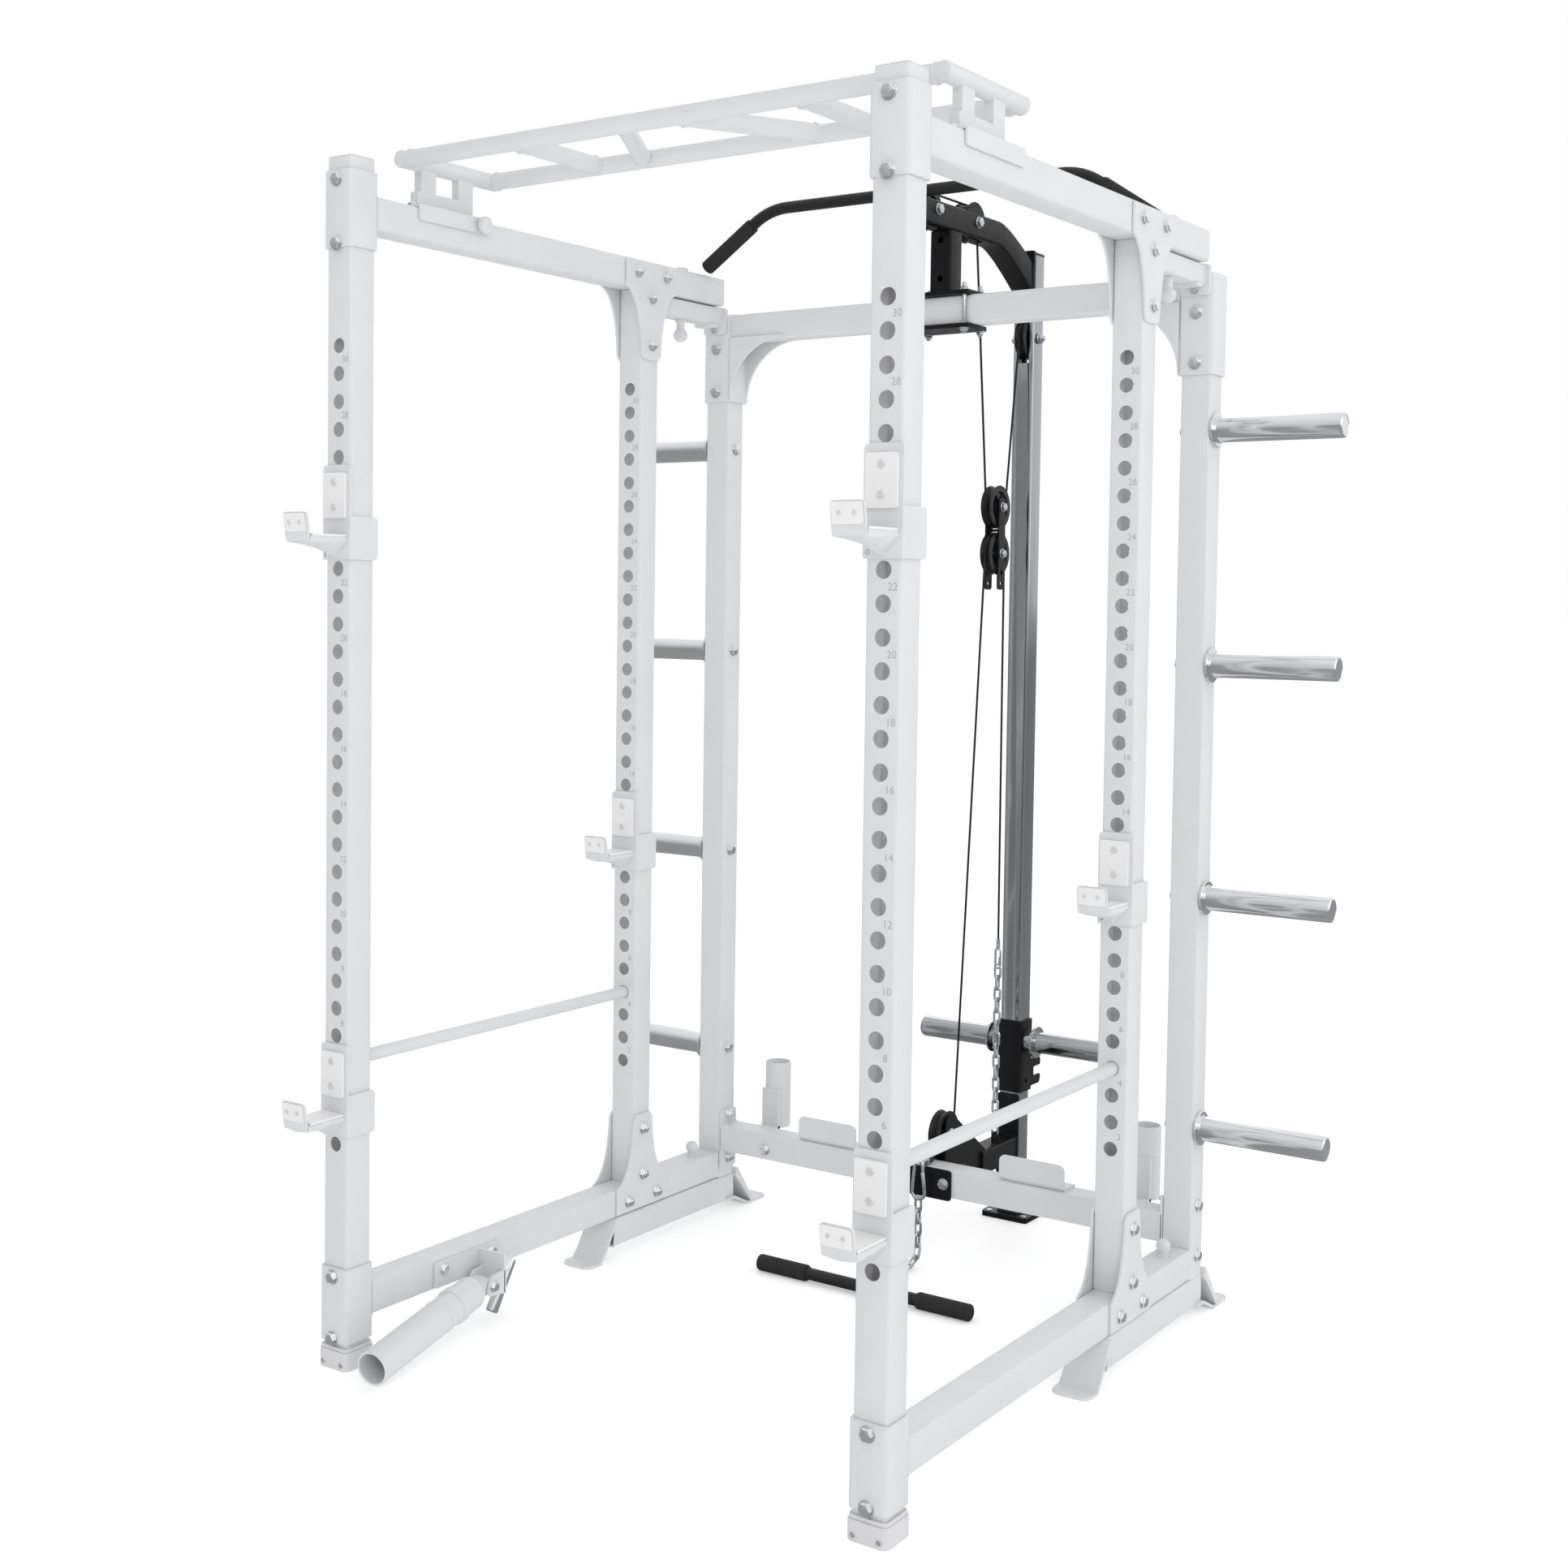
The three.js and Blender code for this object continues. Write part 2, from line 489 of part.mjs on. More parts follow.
/** Closed corner sleeve round a rear post, with its two bolt heads and curved gussets to the crossmember. */
function cornerSleeve(x, side) {
  const { wrap, sleeveHeight, sleeveBolts, gussetRadius } = TOP_CROSS;
  const low = REAR_POST_TOP - sleeveHeight;
  const half = HALF + GAP + wrap;
  const middle = REAR_POST_CENTRE;
  const outer = box(around(x, half), around(middle, half), [low, REAR_POST_TOP]);
  const post = box(around(x, HALF + GAP), around(middle, HALF + GAP), [low - 1, REAR_POST_TOP + 1]);
  const edge = x - side * half;
  const under = REAR_POST_TOP - TUBE;
  const steps = 6;
  const outline = [[edge + side, under + 8], [edge + side, low + 2]];
  for (let i = 0; i <= steps; i += 1) {
    const angle = (Math.PI / 2) * (i / steps);
    outline.push([
      edge - side * gussetRadius * (1 - Math.cos(angle)),
      low + 2 + (under - low) * Math.sin(angle),
    ]);
  }
  outline.push([edge - side * gussetRadius, under + 8]);
  if (side > 0) outline.reverse();
  const front = middle - half;
  const rear = middle + half - wrap;
  const heads = sleeveBolts.map((drop) =>
    hexHead('y', [x, REAR_POST_TOP - drop], front - BOLT.headHeight, front + 1));
  const plates = [front, rear].map((y) => prism('y', outline, y, y + wrap));
  return join(outer, plates, heads).subtract(post);
}

function rearTopCrossmember() {
  const reach = POST_X - HALF - GAP - TOP_CROSS.wrap;
  const z = REAR_POST_TOP - HALF;
  const tube = squareTube('x', [REAR_POST_CENTRE, z], -reach - 1, reach + 1);
  const body = join(tube, SIDES.map(([, side]) => cornerSleeve(side * POST_X, side)));
  return body.subtract(drain([POST_X / 2, REAR_POST_CENTRE], z - HALF));
}

function footPlate(side) {
  const { x, width, rise, depth, thickness } = FOOT_PLATE;
  const top = LOW_CROSS.z + TUBE;
  const front = REAR_POST_Y + 2;
  const outline = [[front, top - 1], [front + depth, top - 1], [front + depth, top + thickness],
    [front + 2 * thickness, top + rise], [front, top + rise]];
  return prism('x', outline.reverse(), side * x - width / 2, side * x + width / 2);
}

function barHolder(side) {
  const { inboard, behind, radius, wall, bottom, top, bracketHalf, riserRise, boltIn } = BAR_HOLDER;
  const x = POST_X - inboard;
  const y = REAR_POST_BACK + behind;
  const centre = [side * x, y];
  const back = REAR_POST_BACK;
  const inside = rod('z', centre, radius - wall, bottom + wall, top + 1);
  const face = y - radius;
  const low = LOW_CROSS.z + 8;
  const bracket = box(around(side * x, bracketHalf), [back - 1, face + 4], [low, LOW_CROSS.z + TUBE - 4]);
  const riser = box(around(side * x, bracketHalf), [face - 4, face + 6], [low, bottom + riserRise]);
  const ahead = [REAR_POST_Y - BOLT.headHeight, REAR_POST_Y + 1];
  const bolt = hexHead('y', [side * (x - boltIn), LOW_CROSS.z + TUBE * 0.4], ...ahead);
  return join(join(rod('z', centre, radius, bottom, top), riser).subtract(inside), bracket, bolt);
}

function rearBottomCrossmember() {
  const reach = POST_X - HALF - GAP;
  const { z, flangeAbove, flangeBelow, boltSpan } = LOW_CROSS;
  const centre = [REAR_POST_CENTRE, z + HALF];
  const tube = squareTube('x', centre, -reach + 1, reach - 1);
  const solids = [tube];
  for (const [, side] of SIDES) {
    const face = side * reach;
    const plate = ordered(face, face - side * PLATE);
    solids.push(box(plate, [REAR_POST_Y, REAR_POST_BACK], [z - flangeBelow, z + TUBE + flangeAbove]));
    for (const end of [-1, 1]) {
      const height = z + HALF + (end * boltSpan) / 2;
      const head = ordered(face - side * (PLATE - 1), face - side * (PLATE + BOLT.headHeight));
      solids.push(hexHead('x', [centre[0], height], ...head));
    }
    solids.push(footPlate(side), barHolder(side));
  }
  const { boltX, boltZ } = LOW_ARM;
  const armBolts = [-boltX, boltX].map((x) =>
    bore('y', [x, boltZ], BOLT.radius + RUNNING, REAR_POST_Y - 1, REAR_POST_BACK + 1, 6));
  return cut(join(solids), armBolts);
}

/** A weight peg, made along +X from the post's outer face, with the bolt that holds it through the post. */
function weightPeg() {
  const { radius, length, flangeRadius, flange, chamfer } = PEG;
  const inner = -TUBE - GAP;
  return join(
    rod('x', [0, 0], flangeRadius, GAP, GAP + flange),
    rod('x', [0, 0], radius, GAP + flange - 1, length - chamfer),
    rod('x', [0, 0], radius, length - chamfer, length, 12, radius - chamfer),
    rod('x', [0, 0], BOLT.radius, inner - 1, GAP + 1, 6),
    hexHead('x', [0, 0], inner - BOLT.headHeight, inner),
  );
}

/** The chin-up frame: two side tubes, two cross bars and four grips, on legs and saddles over the rails. */
function chinUpFrame() {
  const { radius, rise, frontBar, rearBar, overhang, straight, slantFront, slantRear, legs, skirt } = CHIN_UP;
  const { saddleFront, saddleRear, saddleTop, knobY, knobRadius, knobLength } = CHIN_UP;
  const railTop = TOP_RAIL_Z + TUBE;
  const z = railTop + rise;
  const solids = [];
  for (const y of [frontBar, rearBar]) solids.push(bar([-POST_X, y, z], [POST_X, y, z], radius));
  for (const [, side] of SIDES) {
    const x = side * POST_X;
    solids.push(bar([x, frontBar - overhang, z], [x, rearBar + overhang, z], radius));
    solids.push(bar([side * straight, frontBar, z], [side * straight, rearBar, z], radius));
    solids.push(bar([side * slantFront, frontBar, z], [side * slantRear, rearBar, z], radius));
    const base = railTop + GAP;
    for (const y of legs) solids.push(box(around(x, 10), around(y, 20), [base, z]));
    solids.push(box(around(x, HALF + GAP + PLATE), [saddleFront, saddleRear], [base, base + PLATE]));
    solids.push(box(around(x, 10), [saddleFront + 20, saddleRear - 30], [base, base + saddleTop]));
    for (const way of [-1, 1]) {
      const face = x + way * (HALF + GAP + PLATE / 2);
      solids.push(box(around(face, PLATE / 2), [saddleFront, saddleRear], [railTop - skirt, base + 1]));
    }
    const inner = x - side * (HALF + GAP + PLATE);
    const knob = ordered(inner + side, inner - side * knobLength);
    solids.push(rod('x', [knobY, railTop - 10], knobRadius, ...knob));
  }
  return join(solids);
}

// ---- loose gear on the posts --------------------------------------------------------------------------

/** A J-cup hanging on a post whose front face is y = 0, with its plate's lower edge at z = 0 and the post's
 *  centre at x = 0. All are of one hand: the cheek wraps back round the post's right side. */
function jCup() {
  const { height, pinHeight, pinLength, cheekHeight, cheekBack, linerFrom, linerTo, liner } = CUP;
  const { shelf, shelfUnder, lipFront, lipTop, lip, hookHalfWidth } = CUP;
  const face = -GAP;
  const back = face - PLATE;
  const outside = HALF + GAP + PLATE;
  const inside = -(HALF + 3);
  const cheek = HALF + GAP;
  const hook = [[back + 1, 8], [back + 1, shelf], [-lipFront + 14, shelf], [-lipFront + lip, lipTop],
    [-lipFront, lipTop], [-lipFront + 7, shelfUnder + 4], [-60, shelfUnder]];
  return join(
    box([inside, outside], [back, face], [0, height]),
    box([cheek, outside], [back, TUBE + cheekBack], [0, cheekHeight]),
    box(around(0, HALF - 2), [back - liner, back + 1], [linerFrom, linerTo]),
    prism('x', hook, -hookHalfWidth, hookHalfWidth),
    rod('y', [0, pinHeight], pinRadius, face - 1, pinLength, 8),
  );
}

/** Safety rod from the front post's front wall to just behind the middle post. */
const safetyRod = () =>
  rod('y', [0, 0], POST_HOLE.diameter / 2 - ROD.play, WALL, MID_POST_Y + TUBE + ROD.rearOverhang, 10);

/** Landmine: bracket on the left base rail's inner face, with the yoke's two lugs and a chrome pull pin. */
const landminePivot = new THREE.Vector3(-POST_X + LANDMINE.inboard, LANDMINE.pivotY, LANDMINE.pivotZ);
const landmineMouth = new THREE.Vector3(-POST_X + LANDMINE.mouthInboard, LANDMINE.mouthY, LANDMINE.mouthZ);

function landmineBracket() {
  const { x, y, z } = landminePivot;
  const { bracketFront, bracketRear, yoke, pinRadius, pinLength, pinTilt } = LANDMINE;
  const face = -POST_X + HALF + GAP;
  const plate = box([face, face + PLATE], [bracketFront, bracketRear], [BASE_RAIL_Z + 2, BASE_RAIL_Z + 52]);
  const heads = [bracketFront + 24, bracketRear - 24].map((place) =>
    hexHead('x', [place, BASE_RAIL_Z + 36], face + PLATE - 1, face + PLATE + BOLT.headHeight));
  const arm = box([face, x + yoke / 2 + 6], [y + 30, y + 42], [z - 24, BASE_RAIL_Z + 50]);
  const lug = (at) => box([at, at + 6], [y - 16, y + 36], [z - 20, z + 20]);
  const axle = rod('x', [y, z], 7, x - yoke / 2 - 4, x + yoke / 2 + 12, 8);
  const up = new THREE.Vector3(0, Math.sin(pinTilt), Math.cos(pinTilt)).multiplyScalar(pinLength / 2);
  const middle = new THREE.Vector3(x, y + 53, z - 18);
  const pin = sweep([middle.clone().sub(up), middle.clone().add(up)], pinRadius, 10);
  return join(plate, heads, arm, lug(x - yoke / 2 - 6), lug(x + yoke / 2), axle, pin);
}

/** The swinging sleeve, from its pivot eye to the open mouth that rests near the floor. */
function landmineSleeve() {
  const { sleeveRadius, sleeveWall, yoke } = LANDMINE;
  const along = landmineMouth.clone().sub(landminePivot).normalize();
  const start = landminePivot.clone().addScaledVector(along, 30);
  const tube = sweep([start, landmineMouth], sleeveRadius, 14);
  const inner = start.clone().addScaledVector(along, 12);
  const beyond = landmineMouth.clone().addScaledVector(along, 2);
  const hollow = sweep([inner, beyond], sleeveRadius - sleeveWall, 14);
  const { x, y, z } = landminePivot;
  const eye = box(around(x, yoke / 2 - 1), [y - 40, y + 14], around(z, 15));
  return cut(join(tube.subtract(hollow), eye), bore('x', [y, z], 7 + RUNNING, x - yoke, x + yoke));
}

// ---- lat-pulldown and low row -------------------------------------------------------------------------

/** Profile of the top arm in Y and Z: straight, then bending down to the column, kept inside by `inset`. */
function armOutline(inset) {
  const { height, endDrop } = ARM;
  const z = ARM_Z;
  const front = REAR_POST_Y + ARM.front;
  const bend = REAR_POST_Y + ARM.bend;
  const half = height / 2 - inset;
  const end = COLUMN_Y - BLACK_TUBE / 2 - GAP;
  const middle = new THREE.QuadraticBezierCurve(
    new THREE.Vector2(bend, z), new THREE.Vector2(bend + 45, z), new THREE.Vector2(end, z - endDrop));
  const line = [new THREE.Vector2(front, z), ...middle.getPoints(5)];
  const upper = line.map((p) => [p.x, p.y + half]);
  const lower = line.map((p) => [p.x, p.y - half - (p.x > bend ? ((p.x - bend) / (end - bend)) * 17 : 0)]);
  return [...lower, ...upper.reverse()];
}

function latArm() {
  const half = BLACK_TUBE / 2;
  const { height, endDrop } = ARM;
  const z = ARM_Z;
  const shell = prism('x', armOutline(0), -half, half);
  const hollow = prism('x', armOutline(WALL), -half + WALL, half - WALL);
  const slotHalf = PULLEY.width / 2 + PULLEY.slot;
  const open = [z - height, z + height];
  const slots = [FRONT_PULLEY, REAR_PULLEY].map(([y]) =>
    box(around(0, slotHalf), around(y, PULLEY.smallRadius + 6), open));
  const mouth = box(around(0, slotHalf), [REAR_POST_Y + ARM.front - 1, FRONT_PULLEY[0]], open);
  const axles = [FRONT_PULLEY, REAR_PULLEY].flatMap((at) => [
    rod('x', at, PULLEY.bore, -half - 1, half + 1, 8),
    hexHead('x', at, -half - BOLT.headHeight, -half + 1),
    hexHead('x', at, half - 1, half + BOLT.headHeight),
  ]);
  const hump = [-1, 1].map((side) => {
    const at = side * (slotHalf + 3);
    const guard = rod('x', REAR_PULLEY, PULLEY.smallRadius + 3, at - 1.5, at + 1.5, 14);
    return guard.intersect(box(around(at, 5), around(REAR_PULLEY[0], 60), [z, z + 80]));
  });
  const end = COLUMN_Y - half - GAP;
  const endZ = z - endDrop;
  const endFlange = box(around(0, half + 3), [end - ARM.endFlange, end], [endZ - 55, endZ + 42]);
  const body = cut(shell, hollow, slots, mouth);
  return join(body, axles, hump, endFlange);
}

/** Post under the arm, clamped round the rear top crossmember by two plates and four bolts. */
function armPost() {
  const { behind, plateHalfX, plateHalfY, plate } = ARM_POST;
  const { boltX, boltRadius, boltPlay, boltHead, boltDrops } = ARM_POST;
  const y = REAR_POST_Y + behind;
  const boltY = HALF + boltRadius + boltPlay;
  const low = REAR_POST_TOP - TUBE - GAP - plate;
  const high = REAR_POST_TOP + GAP + plate;
  const armUnder = ARM_Z - ARM.height / 2 - GAP;
  const middle = REAR_POST_CENTRE;
  const half = BLACK_TUBE / 2;
  const solids = [
    box(around(0, plateHalfX), around(middle, plateHalfY), [REAR_POST_TOP + GAP, high]),
    box(around(0, plateHalfX), around(middle, plateHalfY), [low, low + plate]),
    box(around(0, half), around(y, half), [high - 1, armUnder]),
  ];
  for (const x of [-boltX, boltX]) {
    for (const depth of [-boltY, boltY]) {
      const at = [x, middle + depth];
      solids.push(rod('z', at, boltRadius, low - 12, high + 12, 6));
      solids.push(hexHead('z', at, low - 8, low + 1, boltHead));
      solids.push(hexHead('z', at, high - 1, high + 8, boltHead));
    }
  }
  for (const drop of boltDrops) {
    const at = [0, armUnder - drop];
    solids.push(hexHead('y', at, y - half - BOLT.headHeight, y - half + 1));
    solids.push(hexHead('y', at, y + half - 1, y + half + BOLT.headHeight));
  }
  return join(solids);
}

function guideColumn() {
  const half = BLACK_TUBE / 2;
  const { foot, footHalfX, footHalfY } = COLUMN;
  const y = COLUMN_Y;
  const top = COLUMN_TOP;
  const [pulleyY, pulleyZ] = COLUMN_PULLEY;
  const reach = PULLEY.largeRadius + 8;
  const tube = box(around(0, half), around(y, half), [foot - 1, top]);
  const hollow = box(around(0, half - WALL), around(y, half - WALL), [foot + 2, top - WALL]);
  const slot = box(around(0, PULLEY.width / 2 + PULLEY.slot), around(y, half + 1), around(pulleyZ, reach));
  const plate = box(around(0, footHalfX), around(y, footHalfY), [0, foot]);
  const axle = [
    rod('x', [pulleyY, pulleyZ], PULLEY.bore, -half - 1, half + 1, 8),
    hexHead('x', [pulleyY, pulleyZ], -half - BOLT.headHeight - 1, -half + 1),
    hexHead('x', [pulleyY, pulleyZ], half - 1, half + BOLT.headHeight + 1),
  ];
  return join(cut(tube, hollow, slot), plate, axle);
}

/** A grooved pulley round the X axis. */
function pulley(radius) {
  const half = PULLEY.width / 2;
  const floor = radius - PULLEY.groove;
  const hub = PULLEY.bore + RUNNING;
  const { rim } = PULLEY;
  const profile = [[hub, -half], [radius, -half], [radius, -half + rim], [floor, -rim], [floor, rim],
    [radius, half - rim], [radius, half], [hub, half], [hub, -half]];
  const geometry = new THREE.LatheGeometry(profile.map(([r, y]) => new THREE.Vector2(r, y)), 12);
  return solidOf(geometry.rotateZ(-Math.PI / 2));
}

/** The travelling block: two side plates, a spacer and the two pulley axles, about its own middle line. */
function pulleyBlock() {
  const { halfDepth, spacer, above, below } = BLOCK;
  const top = BLOCK_UPPER + above;
  const bottom = BLOCK_LOWER - below;
  const face = PULLEY.width / 2 + PULLEY.side;
  const thick = BLOCK.plate;
  const plates = [-face - thick, face].map((x) => box([x, x + thick], around(0, halfDepth), [bottom, top]));
  const solids = [
    ...plates,
    box(around(0, face + 1), around(0, halfDepth - 3), around((BLOCK_UPPER + BLOCK_LOWER) / 2, spacer / 2)),
  ];
  for (const z of [BLOCK_UPPER, BLOCK_LOWER]) {
    solids.push(rod('x', [0, z], PULLEY.bore, -face - 1, face + 1, 8));
    solids.push(hexHead('x', [0, z], -face - thick - 6, -face - 1, BLOCK.boltHead));
    solids.push(hexHead('x', [0, z], face + 1, face + thick + 6, BLOCK.boltHead));
  }
  const outside = face + thick + 1;
  const holes = [0, 1].map((i) =>
    bore('x', [0, bottom + BLOCK.holeLow + BLOCK.holePitch * i], BLOCK.holeRadius, -outside, outside, 6));
  return cut(join(solids), holes);
}

function lowArm() {
  const half = BLACK_TUBE / 2;
  const { z, height, plateHalfX, boltX, boltZ, columnPlateBottom, columnPlateTop, clampPlate } = LOW_ARM;
  const tubeFront = REAR_POST_Y + LOW_ARM.tubeFront;
  const rear = COLUMN_Y - half - GAP;
  const tube = squareTube('y', [0, z], tubeFront - 1, rear - 5, [BLACK_TUBE, height]);
  const [pulleyY, pulleyZ] = LOW_PULLEY_AT;
  const behind = REAR_POST_BACK + GAP;
  const ahead = REAR_POST_Y - GAP;
  const floor = z - height / 2 + 6;
  const cheek = [[behind, floor], [tubeFront + 20, floor], [tubeFront + 20, z + height / 2],
    [pulleyY + 30, pulleyZ + 26], [pulleyY + 14, pulleyZ + 38], [pulleyY - 14, pulleyZ + 38],
    [behind, pulleyZ + 22]];
  const face = PULLEY.width / 2 + PULLEY.side;
  const outer = face + LOW_ARM.cheek;
  const crossmember = [z - height / 2 + 4, LOW_CROSS.z + TUBE];
  const solids = [
    tube,
    prism('x', cheek, face, outer),
    prism('x', cheek, -outer, -face),
    box(around(0, face + 1), [behind + 1, tubeFront + 20], [floor, floor + 6]),
    box(around(0, half), [tubeFront - 4, tubeFront + 1], [z - height / 2, z + height / 2]),
    box(around(0, half + 2), [rear - 6, rear], [columnPlateBottom, columnPlateTop]),
    box(around(0, plateHalfX), [behind, behind + clampPlate], crossmember),
    box(around(0, plateHalfX), [ahead - clampPlate, ahead], crossmember),
    rod('x', [pulleyY, pulleyZ], PULLEY.bore, -face - 1, face + 1, 8),
    hexHead('x', [pulleyY, pulleyZ], -outer - BOLT.headHeight, -face - 1),
    hexHead('x', [pulleyY, pulleyZ], face + 1, outer + BOLT.headHeight),
    box(around(0, 3), around(CHAIN_Y, 12), [z + height / 2 - 1, ANCHOR_CHAIN.bottom - GAP]),
  ];
  for (const x of [-boltX, boltX]) {
    solids.push(rod('y', [x, boltZ], BOLT.radius, ahead - 1, behind + 1, 6));
    solids.push(hexHead('y', [x, boltZ], ahead - clampPlate - BOLT.headHeight, ahead - clampPlate + 1));
    solids.push(hexHead('y', [x, boltZ], behind + clampPlate - 1, behind + clampPlate + BOLT.headHeight));
  }
  return join(solids).subtract(drain([0, (tubeFront + rear) / 2], z - height / 2));
}

/** The weight carriage: a sleeve round the column, two horns, the rear hook plate and the cable's lug. */
function weightCarriage() {
  const { bottom, wall, play, hornUp, hornRadius, hornReach, flangeRadius, flangeX, hookOut } = CARRIAGE;
  const top = CARRIAGE_TOP;
  const hornZ = bottom + hornUp;
  const inner = BLACK_TUBE / 2 + play;
  const outer = inner + wall;
  const y = COLUMN_Y;
  const sleeve = box(around(0, outer), around(y, outer), [bottom, top]);
  const solids = [sleeve];
  for (const [, side] of SIDES) {
    const flange = ordered(side * flangeX, side * (flangeX + 6));
    solids.push(rod('x', [y, hornZ], hornRadius, ...ordered(side * (outer - 1), side * hornReach), 14));
    solids.push(rod('x', [y, hornZ], flangeRadius, ...flange, 14));
  }
  const hookBottom = bottom + CARRIAGE.hookLow;
  const hookTop = bottom + CARRIAGE.hookHigh;
  const back = CARRIAGE_BACK;
  const hookRear = back + hookOut;
  const third = (hookTop - hookBottom) / 3;
  const teeth = [[back - 1, hookBottom], [hookRear - 6, hookBottom], [hookRear, hookBottom + 8],
    [hookRear, hookBottom + third], [back + 8, hookBottom + third], [back + 8, hookTop - third],
    [hookRear, hookTop - third], [hookRear, hookTop - 6], [hookRear - 8, hookTop], [back - 1, hookTop]];
  for (const [, side] of SIDES) {
    solids.push(prism('x', teeth, ...ordered(side * (outer - CARRIAGE.hookWall), side * outer)));
  }
  solids.push(box(around(0, 4), [back - 1, COLUMN_BACK_RUN + CARRIAGE.lugBehind], [top - 34, top - 2]));
  const column = box(around(0, inner), around(y, inner), [bottom - 1, top + 1]);
  return join(solids).subtract(column);
}

// ---- cables, chains and bars --------------------------------------------------------------------------

const blockPulley = (z, turn) => ({ at: [BLOCK_Y, z], radius: LARGE_RUN, turn });

function latCable() {
  return sweep(cableRoute([
    [LAT_HOOK_Y, LAT_HOOK_TOP + GAP],
    { at: FRONT_PULLEY, radius: SMALL_RUN, turn: -1 },
    { at: REAR_PULLEY, radius: SMALL_RUN, turn: -1 },
    blockPulley(BLOCK_UPPER, 1),
    { at: COLUMN_PULLEY, radius: LARGE_RUN, turn: -1 },
    [COLUMN_BACK_RUN, CARRIAGE_TOP - 2 + GAP],
  ]), CABLE_RADIUS);
}

function rowCable() {
  return sweep(cableRoute([
    [REAR_POST_Y + ROW_HOOK.stopperRear + GAP, ROW_CABLE_Z],
    { at: LOW_PULLEY_AT, radius: LARGE_RUN, turn: 1 },
    blockPulley(BLOCK_LOWER, -1),
    [CHAIN_Y, ANCHOR_CHAIN.top + GAP],
  ]), CABLE_RADIUS);
}

const anchorChain = () => rod('z', [0, CHAIN_Y], CHAIN_RADIUS, ANCHOR_CHAIN.bottom, ANCHOR_CHAIN.top, 8);

/** Stop ball and snap hook at the end of the lat cable. */
function latSnapHook() {
  const top = LAT_HOOK_TOP;
  return join(
    ball(0, LAT_HOOK_Y, top - 14, 13.5),
    box(around(0, 5), around(LAT_HOOK_Y, 12), [top - LAT_HOOK.length, top - 20]),
    rod('z', [0, LAT_HOOK_Y], 6, top - 12, top, 8),
  );
}

/** Stopper, snap hook and the chain that hangs to the floor and runs along it to the row bar. */
function rowChain() {
  const { bottom, stopperRadius, stopperFront, stopperRear } = ROW_HOOK;
  const y = REAR_POST_Y;
  const z = ROW_CABLE_Z;
  const floor = CHAIN_RADIUS + GAP;
  const barY = REAR_POST_Y - ROW_BAR.ahead;
  const corners = [
    new THREE.Vector3(0, ROW_HOOK_Y, bottom + 10),
    new THREE.Vector3(0, ROW_HOOK_Y, floor),
    new THREE.Vector3(0, barY + ROW_BAR.radius + GAP, floor),
  ];
  return join(
    sweep(rounded(corners, 34), CHAIN_RADIUS),
    rod('y', [0, z], stopperRadius, y + stopperFront, y + stopperRear, 10),
    box(around(0, ROW_HOOK.halfWidth), around(ROW_HOOK_Y, 5), [bottom, z + 6]),
    box(around(0, 5), [ROW_HOOK_Y, y + stopperFront + 1], [z - 6, z + 6]),
  );
}

function rowBar() {
  const { halfLength, radius, gripRadius, gripFrom } = ROW_BAR;
  return join(
    rod('x', [0, 0], radius, -halfLength, halfLength),
    SIDES.map(([, side]) =>
      rod('x', [0, 0], gripRadius, ...ordered(side * gripFrom, side * (halfLength + 2)))),
  );
}

/** The wide lat bar, straight in the middle with its ends bent down, about its own middle point. */
function latBar() {
  const { straight, tipX, tipDrop, radius, gripRadius, gripLength } = LAT_BAR;
  const tip = (side) => new THREE.Vector3(side * tipX, 0, -tipDrop);
  const knee = (side) => new THREE.Vector3(side * straight, 0, 0);
  const solids = [sweep(rounded([tip(-1), knee(-1), knee(1), tip(1)], 46, 3), radius, 10)];
  for (const [, side] of SIDES) {
    const inward = knee(side).sub(tip(side)).normalize();
    const outer = tip(side).addScaledVector(inward, -2);
    solids.push(sweep([outer, outer.clone().addScaledVector(inward, gripLength)], gripRadius, 12));
  }
  return join(solids);
}

// ---- assembly -----------------------------------------------------------------------------------------

for (const [name, side] of SIDES) {
  const x = side * POST_X;
  add(`front_post_${name}`, 'coat', frontPost(x));
  add(`mid_post_${name}`, 'coat', midPost(x));
  add(`rear_post_${name}`, 'coat', rearPost(x, side));
  add(`top_rail_${name}`, 'coat', topRail(x));
  add(`base_rail_${name}`, 'coat', baseRail(x));
  add(`top_gusset_${name}`, 'coat', gusset(x, TOP_RAIL_Z, -1));
  add(`base_gusset_${name}`, 'coat', gusset(x, BASE_RAIL_Z + TUBE, 1));
  add(`rear_top_tube_${name}`, 'coat', rearTopTube(x));
  add(`rear_base_tube_${name}`, 'coat', rearBaseTube(x));
  add(`clamp_knob_${name}`, 'coat', clampKnob(), [x, CLAMP_Y, TOP_RAIL_Z]);
  pegHeights().forEach((z, i) => {
    const turn = side < 0 ? [0, 0, Math.PI] : [0, 0, 0];
    add(`weight_peg_${name}_${i + 1}`, 'chrome', weightPeg(), [x + side * HALF, REAR_POST_Y + HALF, z], turn);
  });
  const cups = [
    ['low', 0, LOW_CUP_HOLE],
    ['high', 0, HOLE_COUNT - HIGH_CUP_BELOW_TOP],
    ['mid', MID_POST_Y, MID_CUP_HOLE],
  ];
  for (const [place, front, hole] of cups) {
    add(`j_cup_${place}_${name}`, 'coat', jCup(), [x, front, holeZ(hole) - CUP.pinHeight]);
  }
  add(`safety_rod_${name}`, 'coat', safetyRod(), [x, 0, holeZ(ROD.hole)]);
}

add('rear_top_crossmember', 'coat', rearTopCrossmember());
add('rear_bottom_crossmember', 'coat', rearBottomCrossmember());
add('chin_up_frame', 'coat', chinUpFrame());
add('landmine_bracket', 'coat', landmineBracket());
add('landmine_sleeve', 'coat', landmineSleeve());

